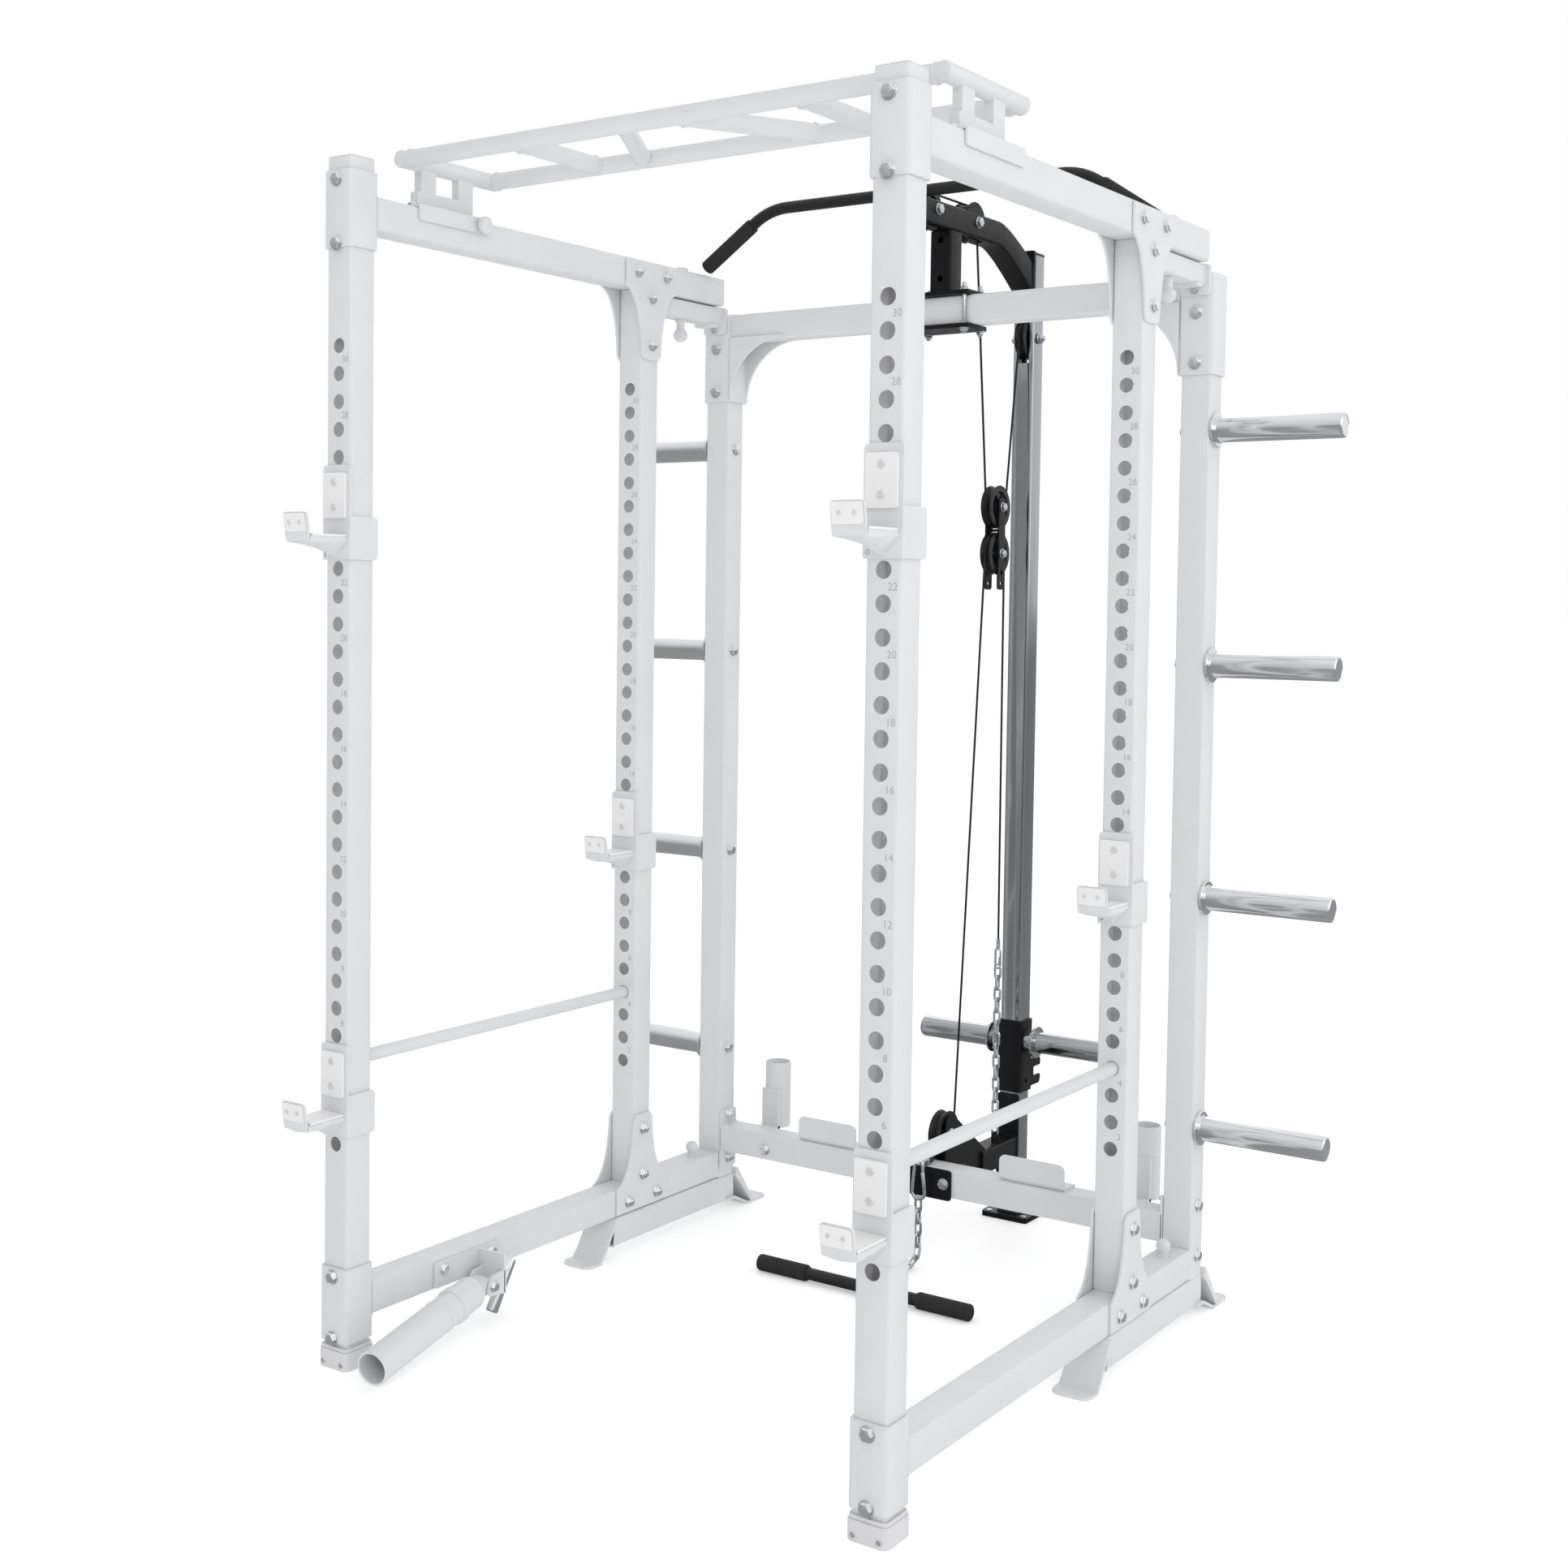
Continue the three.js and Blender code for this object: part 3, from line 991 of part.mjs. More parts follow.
add('lat_arm', 'black', latArm());
add('arm_post', 'black', armPost());
add('guide_column', 'chrome', guideColumn());
add('low_arm', 'black', lowArm());
add('weight_carriage', 'black', weightCarriage());
add('arm_front_pulley', 'nylon', pulley(PULLEY.smallRadius), [0, ...FRONT_PULLEY]);
add('arm_rear_pulley', 'nylon', pulley(PULLEY.smallRadius), [0, ...REAR_PULLEY]);
add('column_pulley', 'nylon', pulley(PULLEY.largeRadius), [0, ...COLUMN_PULLEY]);
add('pulley_block', 'black', pulleyBlock(), [0, BLOCK_Y, 0]);
add('block_upper_pulley', 'nylon', pulley(PULLEY.largeRadius), [0, BLOCK_Y, BLOCK_UPPER]);
add('block_lower_pulley', 'nylon', pulley(PULLEY.largeRadius), [0, BLOCK_Y, BLOCK_LOWER]);
add('low_pulley', 'nylon', pulley(PULLEY.largeRadius), [0, ...LOW_PULLEY_AT]);
add('lat_cable', 'cable', latCable());
add('row_cable', 'cable', rowCable());
add('anchor_chain', 'zinc', anchorChain());
add('row_chain', 'zinc', rowChain());
add('lat_snap_hook', 'zinc', latSnapHook());
const latBarZ = ARM_Z + ARM.height / 2 + LAT_BAR.radius + GAP; // it lies on the arm's fork, against the pulley
const latBarAway = PULLEY.smallRadius + LAT_BAR.radius + LAT_BAR.clearance;
const latBarRise = latBarZ - FRONT_PULLEY[1];
const latBarY = FRONT_PULLEY[0] - Math.sqrt(latBarAway ** 2 - latBarRise ** 2);
add('lat_bar', 'black', latBar(), [0, latBarY, latBarZ]);
add('row_bar', 'black', rowBar(), [0, REAR_POST_Y - ROW_BAR.ahead, ROW_BAR.gripRadius + GAP]);

export default cage;
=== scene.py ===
"""Looks of the power cage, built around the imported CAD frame.

Every piece is drawn in millimetres in the layout frame: X to the right, Y from the front face of the front
posts towards the rear, Z up from the floor. piece() brings it into the frame's metres.
"""

import math

import bmesh
import bpy
from mathutils import Matrix, Vector


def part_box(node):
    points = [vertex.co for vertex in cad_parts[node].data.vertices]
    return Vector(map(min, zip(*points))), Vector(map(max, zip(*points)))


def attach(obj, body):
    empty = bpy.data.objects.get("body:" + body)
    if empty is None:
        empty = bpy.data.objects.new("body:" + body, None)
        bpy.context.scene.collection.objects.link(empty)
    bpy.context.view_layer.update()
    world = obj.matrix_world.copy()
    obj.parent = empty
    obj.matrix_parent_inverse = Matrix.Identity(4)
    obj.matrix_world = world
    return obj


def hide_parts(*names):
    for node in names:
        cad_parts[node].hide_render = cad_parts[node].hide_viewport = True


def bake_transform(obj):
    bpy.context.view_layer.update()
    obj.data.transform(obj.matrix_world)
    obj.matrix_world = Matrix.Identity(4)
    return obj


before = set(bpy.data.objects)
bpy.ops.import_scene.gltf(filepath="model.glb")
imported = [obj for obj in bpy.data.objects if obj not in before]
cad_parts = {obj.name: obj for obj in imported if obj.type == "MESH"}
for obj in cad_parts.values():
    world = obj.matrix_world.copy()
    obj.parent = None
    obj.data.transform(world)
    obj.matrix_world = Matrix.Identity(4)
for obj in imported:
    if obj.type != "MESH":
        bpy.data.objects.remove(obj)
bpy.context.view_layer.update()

MM = 0.001
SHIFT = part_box("front_post_left")[0].y
TO_FRAME = Matrix.Translation((0, SHIFT, 0)) @ Matrix.Diagonal((MM, MM, MM, 1))
SIDES = (("left", -1), ("right", 1))


def span(node, axis):
    """Lowest and highest place of a CAD node along X, Y or Z (0, 1, 2), in layout millimetres."""
    low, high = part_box(node)
    offset = SHIFT if axis == 1 else 0
    return (low[axis] - offset) / MM, (high[axis] - offset) / MM


def middle(node, axis):
    return sum(span(node, axis)) / 2


# ---- sizes: read from the frame where a node gives them, otherwise as in the part's source ----------------

GAP = 0.3
WALL = 3
PLATE = 5
CORNER = 5
TUBE = span("mid_post_right", 0)[1] - span("mid_post_right", 0)[0]
HALF = TUBE / 2
POST_X = middle("mid_post_right", 0)
POST_TOP = span("front_post_right", 2)[1]
MID_Y = span("mid_post_right", 1)[0]
REAR_Y = span("rear_post_right", 1)[0]
REAR_BACK = REAR_Y + TUBE
REAR_C = REAR_Y + HALF
MID_C = MID_Y + HALF
REAR_TOP = span("rear_post_right", 2)[1]
COLLAR = {"above": 40, "below": 38, "bolt": 57}
TOP_Z = span("top_rail_right", 2)[0] + COLLAR["below"]
BASE_Z = span("base_rail_right", 2)[0] + COLLAR["below"]
HOLE = {"radius": 13.5, "pitch": 50, "first": 415, "count": 30}
BLACK = 50
HB = BLACK / 2
COLUMN_Y = middle("column_pulley", 1)
COLUMN_TOP = span("guide_column", 2)[1]
ARM_Z = COLUMN_TOP + 19


def centre_of(node):
    return middle(node, 1), middle(node, 2)


FRONT_PULLEY = centre_of("arm_front_pulley")
REAR_PULLEY = centre_of("arm_rear_pulley")
COLUMN_PULLEY = centre_of("column_pulley")
BLOCK_UPPER = centre_of("block_upper_pulley")
BLOCK_LOWER = centre_of("block_lower_pulley")
LOW_PULLEY = centre_of("low_pulley")
BLOCK_Y = BLOCK_UPPER[0]
LARGE, SMALL, SEAT = 48, 41, 3

# ---- camera -----------------------------------------------------------------------------------------------

camera_data = bpy.data.cameras.new("camera")
camera_data.lens = 45.86
camera_data.sensor_width = 36
camera_data.shift_x = 0.0456
camera_data.shift_y = -0.0624
camera_data.clip_end = 200
camera = bpy.data.objects.new("camera", camera_data)
bpy.context.scene.collection.objects.link(camera)
bpy.context.scene.camera = camera
AZIMUTH, PITCH, ROLL = (math.radians(a) for a in (35.491, -2.507, 0.708))
back = Vector((math.sin(AZIMUTH) * math.cos(PITCH), -math.cos(AZIMUTH) * math.cos(PITCH), -math.sin(PITCH)))
level = Vector((math.cos(AZIMUTH), math.sin(AZIMUTH), 0))
upward = level.cross(-back)
right = level * math.cos(ROLL) + upward * math.sin(ROLL)
upward = upward * math.cos(ROLL) - level * math.sin(ROLL)
camera.matrix_world = Matrix((
    (right.x, upward.x, back.x, 2.07817),
    (right.y, upward.y, back.y, -3.32357),
    (right.z, upward.z, back.z, 1.41915),
    (0, 0, 0, 1),
))

# ---- materials --------------------------------------------------------------------------------------------


def surface(name, dark, light, rough, metallic=0.0, patch=14.0, grain=1400.0, bump=0.12, depth=0.0002,
            stretch=(1, 1, 1), specular=0.5, coat=0.0):
    """A procedural finish: slow colour drift, fine relief and a drifting roughness. Scales are per metre."""
    material = bpy.data.materials.new(name)
    material.use_nodes = True
    tree = material.node_tree
    shader = tree.nodes["Principled BSDF"]
    shader.inputs["Metallic"].default_value = metallic
    shader.inputs["Specular IOR Level"].default_value = specular
    shader.inputs["Coat Weight"].default_value = coat
    shader.inputs["Coat Roughness"].default_value = 0.25
    coords = tree.nodes.new("ShaderNodeTexCoord")
    mapping = tree.nodes.new("ShaderNodeMapping")
    mapping.inputs["Scale"].default_value = stretch
    tree.links.new(coords.outputs["Object"], mapping.inputs["Vector"])

    def noise(scale, detail, roughness=0.5):
        node = tree.nodes.new("ShaderNodeTexNoise")
        node.inputs["Scale"].default_value = scale
        node.inputs["Detail"].default_value = detail
        node.inputs["Roughness"].default_value = roughness
        tree.links.new(mapping.outputs["Vector"], node.inputs["Vector"])
        return node.outputs["Fac"]

    drift = noise(patch, 4)
    mix = tree.nodes.new("ShaderNodeMix")
    mix.data_type = "RGBA"
    mix.inputs["A"].default_value = (*dark, 1)
    mix.inputs["B"].default_value = (*light, 1)
    tree.links.new(drift, mix.inputs["Factor"])
    tree.links.new(mix.outputs["Result"], shader.inputs["Base Color"])
    spread = tree.nodes.new("ShaderNodeMapRange")
    spread.inputs["From Min"].default_value = 0.3
    spread.inputs["From Max"].default_value = 0.7
    spread.inputs["To Min"].default_value, spread.inputs["To Max"].default_value = rough
    tree.links.new(noise(patch * 3.1, 6, 0.6), spread.inputs["Value"])
    tree.links.new(spread.outputs["Result"], shader.inputs["Roughness"])
    relief = tree.nodes.new("ShaderNodeBump")
    relief.inputs["Strength"].default_value = bump
    relief.inputs["Distance"].default_value = depth
    tree.links.new(noise(grain, 3), relief.inputs["Height"])
    tree.links.new(relief.outputs["Normal"], shader.inputs["Normal"])
    return material


def knurl(material, pitch, depth):
    """Adds a diamond relief to a grip's material, in step with its own grain."""
    tree = material.node_tree
    coords = next(n for n in tree.nodes if n.type == "TEX_COORD")
    shader = tree.nodes["Principled BSDF"]
    first = next(n for n in tree.nodes if n.type == "BUMP")
    total = None
    for turn in (math.radians(45), math.radians(-45)):
        mapping = tree.nodes.new("ShaderNodeMapping")
        mapping.inputs["Rotation"].default_value = (0.6, turn, 0.4)
        wave = tree.nodes.new("ShaderNodeTexWave")
        wave.inputs["Scale"].default_value = 1 / pitch / math.pi
        tree.links.new(coords.outputs["Object"], mapping.inputs["Vector"])
        tree.links.new(mapping.outputs["Vector"], wave.inputs["Vector"])
        if total is None:
            total = wave.outputs["Fac"]
        else:
            join = tree.nodes.new("ShaderNodeMath")
            join.operation = "MULTIPLY"
            tree.links.new(total, join.inputs[0])
            tree.links.new(wave.outputs["Fac"], join.inputs[1])
            total = join.outputs["Value"]
    relief = tree.nodes.new("ShaderNodeBump")
    relief.inputs["Strength"].default_value = 0.5
    relief.inputs["Distance"].default_value = depth
    tree.links.new(total, relief.inputs["Height"])
    tree.links.new(first.outputs["Normal"], relief.inputs["Normal"])
    tree.links.new(relief.outputs["Normal"], shader.inputs["Normal"])
    return material


COAT = surface("pale_powder_coat", (0.67, 0.675, 0.68), (0.72, 0.725, 0.73), (0.42, 0.56), bump=0.16)
PALE_PLASTIC = surface("pale_plastic", (0.66, 0.66, 0.665), (0.70, 0.70, 0.705), (0.45, 0.6), grain=700,
                       bump=0.1)
LINER = surface("liner_plastic", (0.80, 0.80, 0.80), (0.86, 0.86, 0.86), (0.3, 0.5), patch=40, grain=500,
                bump=0.2)
FIGURES = surface("stencilled_figures", (0.40, 0.405, 0.41), (0.47, 0.475, 0.48), (0.5, 0.65))
STEEL_BLACK = surface("satin_black_coat", (0.0045, 0.0047, 0.0055), (0.0085, 0.0088, 0.0100), (0.30, 0.44),
                      bump=0.2,
                      specular=0.2)
CHROME = surface("chrome", (0.36, 0.37, 0.385), (0.47, 0.48, 0.495), (0.08, 0.18), 1.0, patch=9, grain=260,
                 bump=0.05, depth=0.0001, stretch=(1, 1, 0.25))
HORN_CHROME = surface("horn_chrome", (0.42, 0.43, 0.45), (0.52, 0.53, 0.55), (0.05, 0.13), 1.0, patch=12,
                      grain=300,
                      bump=0.04, depth=0.0001, stretch=(0.3, 1, 1))
PEG_CHROME = surface("peg_chrome", (0.74, 0.75, 0.77), (0.84, 0.85, 0.87), (0.07, 0.18), 1.0, patch=12,
                     grain=300,
                     bump=0.04, depth=0.0001, stretch=(0.3, 1, 1))
BRIGHT_ZINC = surface("bright_zinc", (0.80, 0.81, 0.82), (0.92, 0.93, 0.94), (0.2, 0.36), 1.0, patch=90,
                      grain=900,
                      bump=0.15, depth=0.0001)
SCREW_ZINC = surface("screw_zinc", (0.84, 0.845, 0.85), (0.92, 0.925, 0.93), (0.3, 0.45), 0.5, patch=90,
                     grain=900)
# Painted light: the posts' inner walls are coloured much paler than the coat, standing in for light that the holes let
# into the tube.
PAINTED_LIGHT_INSIDE = surface("inside_painted_light", (0.88, 0.88, 0.885), (0.93, 0.93, 0.935), (0.5, 0.62), bump=0.16)
ZINC = surface("zinc_plate", (0.52, 0.53, 0.55), (0.74, 0.75, 0.76), (0.16, 0.34), 1.0, patch=90, grain=900,
               bump=0.15, depth=0.0001)
NYLON = surface("black_nylon", (0.006, 0.006, 0.0065), (0.011, 0.011, 0.0115), (0.28, 0.42), patch=30,
                grain=600, bump=0.12,
                specular=0.3)
CABLE = surface("cable_jacket", (0.006, 0.006, 0.0065), (0.011, 0.011, 0.0115), (0.28, 0.42), patch=60,
                grain=700, bump=0.2,
                specular=0.3)
BAR_BLACK = surface("bar_black", (0.010, 0.0105, 0.0115), (0.017, 0.0175, 0.0185), (0.36, 0.5), patch=30,
                    grain=1100,
                    bump=0.3, specular=0.35)
RUBBER = knurl(surface("grip_rubber", (0.016, 0.016, 0.0155), (0.025, 0.025, 0.024), (0.6, 0.78), patch=50,
                       grain=900,
                       bump=0.25, specular=0.3), 0.0032, 0.0004)

# ---- drawing ----------------------------------------------------------------------------------------------

AXES = {"x": (1, 2, 0), "y": (0, 2, 1), "z": (0, 1, 2)}


def placer(axis, centre=(0, 0)):
    """A function that puts (u, v, w) in the layout frame, with w along the axis."""
    order = AXES[axis]

    def put(u, v, w):
        point = [0, 0, 0]
        for index, value in zip(order, (centre[0] + u, centre[1] + v, w)):
            point[index] = value
        return Vector(point)

    return put


def loft(bm, rings, loop=False, caps=True):
    """Joins rings of points by faces; a loop joins the last ring to the first, otherwise the ends are capped."""
    rows = [[bm.verts.new(p) for p in ring] for ring in rings]
    pairs = list(zip(rows, rows[1:]))
    if loop:
        pairs.append((rows[-1], rows[0]))
    count = len(rows[0])
    for a, b in pairs:
        for i in range(count):
            j = (i + 1) % count
            bm.faces.new((a[i], a[j], b[j], b[i]))
    if caps and not loop:
        bm.faces.new(rows[0][::-1])
        bm.faces.new(rows[-1])
    return rows


def rounded_rect(width, height, radius, steps=3):
    """Anticlockwise outline; after each corner's steps + 1 points comes the flat to the next corner."""
    points = []
    for k, (sx, sy) in enumerate(((1, -1), (1, 1), (-1, 1), (-1, -1))):
        cx, cy = sx * (width / 2 - radius), sy * (height / 2 - radius)
        for j in range(steps + 1):
            angle = math.radians(-90 + 90 * k + 90 * j / steps)
            points.append((cx + radius * math.cos(angle), cy + radius * math.sin(angle)))
    return points


def fillet(points, radius, steps=4):
    """Rounds the corners of an outline; radius is one number or one for each corner."""
    count = len(points)
    radii = radius if isinstance(radius, (list, tuple)) else [radius] * count
    out = []
    for i, (corner, reach) in enumerate(zip(points, radii)):
        if not reach:
            out.append(corner)
            continue
        here = Vector(corner)
        before, after = Vector(points[i - 1]), Vector(points[(i + 1) % count])
        limit = 0.49 * min((before - here).length, (after - here).length)
        start = here + (before - here).normalized() * min(reach, limit)
        end = here + (after - here).normalized() * min(reach, limit)
        for j in range(steps + 1):
            t = j / steps
            p = start * (1 - t) ** 2 + here * 2 * t * (1 - t) + end * t * t
            out.append((p.x, p.y))
    return out


def prism(bm, axis, outline, low, high):
    put = placer(axis)
    loft(bm, [[put(u, v, w) for u, v in outline] for w in (low, high)])


def box(bm, xs, ys, zs):
    prism(bm, "z", [(xs[0], ys[0]), (xs[1], ys[0]), (xs[1], ys[1]), (xs[0], ys[1])], *zs)


def around(middle_, half):
    return middle_ - half, middle_ + half


def ordered(a, b):
    return min(a, b), max(a, b)


def square_tube(bm, axis, centre, low, high, size=None, wall=WALL, corner=CORNER):
    width, height = size or (TUBE, TUBE)
    put = placer(axis, centre)
    outer = rounded_rect(width, height, corner)
    inner = rounded_rect(width - 2 * wall, height - 2 * wall, max(corner - wall, 0.8))
    rings = [[put(u, v, w) for u, v in outline]
             for outline, w in ((outer, low), (outer, high), (inner, high), (inner, low))]
    loft(bm, rings, loop=True)


def tube_cap(bm, axis, centre, face, way, size=None, proud=3.0):
    """A moulded plug in a tube's open end, slightly domed; way is the direction that the end faces."""
    width, height = size or (TUBE, TUBE)
    put = placer(axis, centre)
    steps = ((0.4, -10), (0.4, 0), (-0.3, proud * 0.6), (-3.5, proud), (-12, proud + 0.8))
    rings = []
    for grow, depth in steps:
        w, h = (width - 2 * WALL - 0.8, height - 2 * WALL - 0.8) if depth < 0 else (width + 2 * grow - 0.8,
                                                                                    height + 2 * grow - 0.8)
        rings.append([put(u, v, face + way * depth) for u, v in rounded_rect(w, h, CORNER - 1)])
        if depth < 0:
            rings.append([put(u, v, face) for u, v in rounded_rect(w, h, CORNER - 1)])
    loft(bm, rings)


def holed_post(bm, x, y, low, high, holes, radius=HOLE["radius"], pitch=HOLE["pitch"]):
    """A square tube with a row of round holes right through its front and back walls."""
    steps, sides = 3, 24
    levels = [low, holes[0] - pitch / 2] + [z + pitch / 2 for z in holes] + [high]
    outlines = [rounded_rect(TUBE, TUBE, CORNER, steps),
                rounded_rect(TUBE - 2 * WALL, TUBE - 2 * WALL, CORNER - WALL, steps)]
    count = len(outlines[0])
    back_flat, front_flat = 2 * steps + 1, 4 * steps + 3
    skins = [[[bm.verts.new((x + u, y + v, z)) for u, v in outline] for z in levels] for outline in outlines]
    # Skin 0 is the outer wall, skin 1 the inner wall; the inner wall takes the second slot, the paler painted light.
    for skin, rows in enumerate(skins):
        circles = {}
        for k, (lower, upper) in enumerate(zip(rows, rows[1:])):
            for i in range(count):
                j = (i + 1) % count
                holed = 1 <= k <= len(holes) and i in (back_flat, front_flat)
                if not holed:
                    bm.faces.new((lower[i], lower[j], upper[j], upper[i])).material_index = skin
                    continue
                a, b = (lower[i], lower[j]) if lower[i].co.x < lower[j].co.x else (lower[j], lower[i])
                c, d = (upper[j], upper[i]) if upper[i].co.x < upper[j].co.x else (upper[i], upper[j])
                ring = []
                for s in range(sides):
                    angle = math.radians(-135 + 360 * s / sides)
                    ring.append(bm.verts.new((x + radius * math.cos(angle), lower[i].co.y,
                                              holes[k - 1] + radius * math.sin(angle))))
                circles[(k, i)] = ring
                quarter = sides // 4
                for q, (p, r) in enumerate(((a, b), (b, c), (c, d), (d, a))):
                    arc = [ring[(q * quarter + s) % sides] for s in range(quarter + 1)]
                    bm.faces.new([p, r] + arc[::-1]).material_index = skin
        rows.append(circles)
    outer, inner = skins[0][-1], skins[1][-1]
    for key, ring in outer.items():
        other = inner[key]
        for s in range(sides):
            t = (s + 1) % sides
            bm.faces.new((ring[s], ring[t], other[t], other[s]))
    for index in (0, len(levels) - 1):
        a, b = skins[0][index], skins[1][index]
        for i in range(count):
            j = (i + 1) % count
            bm.faces.new((a[i], a[j], b[j], b[i]))


def aim(at, direction):
    """Local Z along a direction, from a point."""
    return Matrix.Translation(at) @ Vector(direction).to_track_quat("Z", "Y").to_matrix().to_4x4()


def lathe(bm, matrix, profile, sides=32, loop=False):
    """Turns (radius, height) steps about local Z; a loop gives a ring such as a washer."""
    rings = []
    for radius, height in profile:
        rings.append([matrix @ Vector((radius * math.cos(2 * math.pi * s / sides),
                                       radius * math.sin(2 * math.pi * s / sides), height)) for s in range(sides)])
    loft(bm, rings, loop=loop)


def rod(bm, start, end, radius, sides=24, cap=0.0):
    """A round bar whose ends are chamfered or, with a larger cap, domed."""
    length = (Vector(end) - Vector(start)).length
    matrix = aim(start, Vector(end) - Vector(start))
    profile = [(radius, 0), (radius, length)]
    if cap:
        profile = [(radius - cap, 0), (radius - cap * 0.3, cap * 0.3), (radius, cap), (radius, length - cap),
                   (radius - cap * 0.3, length - cap * 0.3), (radius - cap, length)]
    lathe(bm, matrix, profile, sides)


def sweep(bm, points, radius, sides=10, closed=False):
    """A round tube along points, carried without twist."""
    points = [Vector(p) for p in points]
    count = len(points)
    normal = None
    rings = []
    for i, point in enumerate(points):
        before = points[i - 1] if closed or i else point
        after = points[(i + 1) % count] if closed or i < count - 1 else point
        tangent = (after - before).normalized()
        if normal is None:
            normal = tangent.orthogonal().normalized()
        normal = (normal - tangent * normal.dot(tangent)).normalized()
        side = tangent.cross(normal)
        rings.append([point + (normal * math.cos(a) + side * math.sin(a)) * radius
                      for a in (2 * math.pi * s / sides for s in range(sides))])
    loft(bm, rings, loop=closed)


def rounded_path(corners, reach, steps=6):
    """Straight runs between corners, each inner corner rounded."""
    corners = [Vector(c) for c in corners]
    points = [corners[0]]
    for before, here, after in zip(corners, corners[1:], corners[2:]):
        start = here + (before - here).normalized() * reach
        end = here + (after - here).normalized() * reach
        for j in range(steps + 1):
            t = j / steps
            points.append(start * (1 - t) ** 2 + here * 2 * t * (1 - t) + end * t * t)
    return points + [corners[-1]]


def bolt(bm, at, direction, across=19, washer=12.5, nut=False):
    """A hex head or a nut on its washer, standing on a face."""
    matrix = aim(at, direction)
    if washer:
        lathe(bm, matrix, [(washer, 0), (washer, 1.6), (washer - 0.6, 2.0)], 24)
    base, height = 1.8, across * 0.38
    hexagon = across / math.sqrt(3)
    rings = []
    for radius, level_ in ((hexagon * 0.97, base), (hexagon, base + 0.6), (hexagon, base + height * 0.78),
                           (hexagon * 0.86, base + height)):
        rings.append([matrix @ Vector((radius * math.cos(math.radians(60 * s)),
                                       radius * math.sin(math.radians(60 * s)),
                                       level_)) for s in range(6)])
    loft(bm, rings)
    stud = across * 0.29
    if nut:
        lathe(bm, matrix, [(stud * 1.35, base), (stud * 1.35, base + height + 0.8),
                           (stud, base + height + 1.4),
                           (stud, base + height + 3.6), (stud * 0.8, base + height + 4.4)], 16)
    else:
        lathe(bm, matrix, [(stud * 1.2, base), (stud * 1.2, base + height + 0.4),
                           (stud * 0.5, base + height + 0.7)], 16)


def screw(bm, at, direction, radius=4.2):
    matrix = aim(at, direction)
    lathe(bm, matrix, [(radius, 0), (radius, 0.7), (radius * 0.9, 1.5), (radius * 0.3, 1.7),
                       (radius * 0.25, 0.9)], 20)


def bead(bm, points, radius=2.4):
    """A weld: a low rope of metal with a slight ripple, round a closed loop."""
    dense = []
    loop = [Vector(p) for p in points]
    for a, b in zip(loop, loop[1:] + loop[:1]):
        count = max(1, round((b - a).length / 4.5))
        dense += [a.lerp(b, i / count) for i in range(count)]
    ripple = [0.0, 0.35, 0.1, -0.3, -0.1]
    centre = sum(dense, Vector()) / len(dense)
    points = [p + (p - centre).normalized() * ripple[i % len(ripple)] for i, p in enumerate(dense)]
    sweep(bm, points, radius, 6, closed=True)


def weld_square(bm, axis, centre, at, size=None):
    width, height = size or (TUBE, TUBE)
    put = placer(axis, centre)
    bead(bm, [put(u, v, at) for u, v in rounded_rect(width, height, CORNER)])


def weld_round(bm, at, direction, radius, bead_radius=2.2):
    matrix = aim(at, direction)
    bead(bm, [matrix @ Vector((radius * math.cos(a), radius * math.sin(a), 0))
              for a in (2 * math.pi * s / 20 for s in range(20))], bead_radius)


def link_loop(centre, along, across, length, width, steps=5):
    """Middle line of a chain link: a long loop with round ends."""
    along, across = Vector(along).normalized(), Vector(across).normalized()
    radius = width / 2
    points = []
    for way in (1, -1):
        for j in range(steps + 1):
            angle = math.pi * j / steps
            points.append(Vector(centre) + along * way * (length / 2 - radius + radius * math.sin(angle))
                          + across * way * radius * math.cos(angle))
    return points


def chain(bm, route, pitch=23.5, width=12.5, wire=2.5, first_across=(1, 0, 0)):
    """Links along a route, each turned a quarter against the one before."""
    route = [Vector(p) for p in route]
    lengths = [(b - a).length for a, b in zip(route, route[1:])]
    count = max(1, round(sum(lengths) / pitch))
    step = sum(lengths) / count

    def at(distance):
        for a, b, length in zip(route, route[1:], lengths):
            if distance <= length or b is route[-1]:
                return a.lerp(b, min(distance / length, 1))
            distance -= length

    for k in range(count):
        start, end = at(k * step), at((k + 1) * step)
        along = (end - start).normalized()
        across = Vector(first_across)
        across = (across - along * across.dot(along)).normalized()
        if k % 2:
            across = along.cross(across)
        sweep(bm, link_loop((start + end) / 2, along, across, step + 2 * wire + 1.6, width), wire, 8,
              closed=True)


def carve(bm, tool):
    """bm with tool cut out of it; both are closed."""
    made = []
    for part in (bm, tool):
        bmesh.ops.recalc_face_normals(part, faces=part.faces)
        mesh = bpy.data.meshes.new("carving")
        part.to_mesh(mesh)
        part.free()
        item = bpy.data.objects.new("carving", mesh)
        bpy.context.scene.collection.objects.link(item)
        made.append(item)
    work, knife = made
    modifier = work.modifiers.new("cut", "BOOLEAN")
    modifier.operation, modifier.solver, modifier.object = "DIFFERENCE", "EXACT", knife
    bpy.context.view_layer.update()
    result = bmesh.new()
    result.from_mesh(work.evaluated_get(bpy.context.evaluated_depsgraph_get()).to_mesh())
    for item in made:
        mesh = item.data
        bpy.data.objects.remove(item)
        bpy.data.meshes.remove(mesh)
    return result


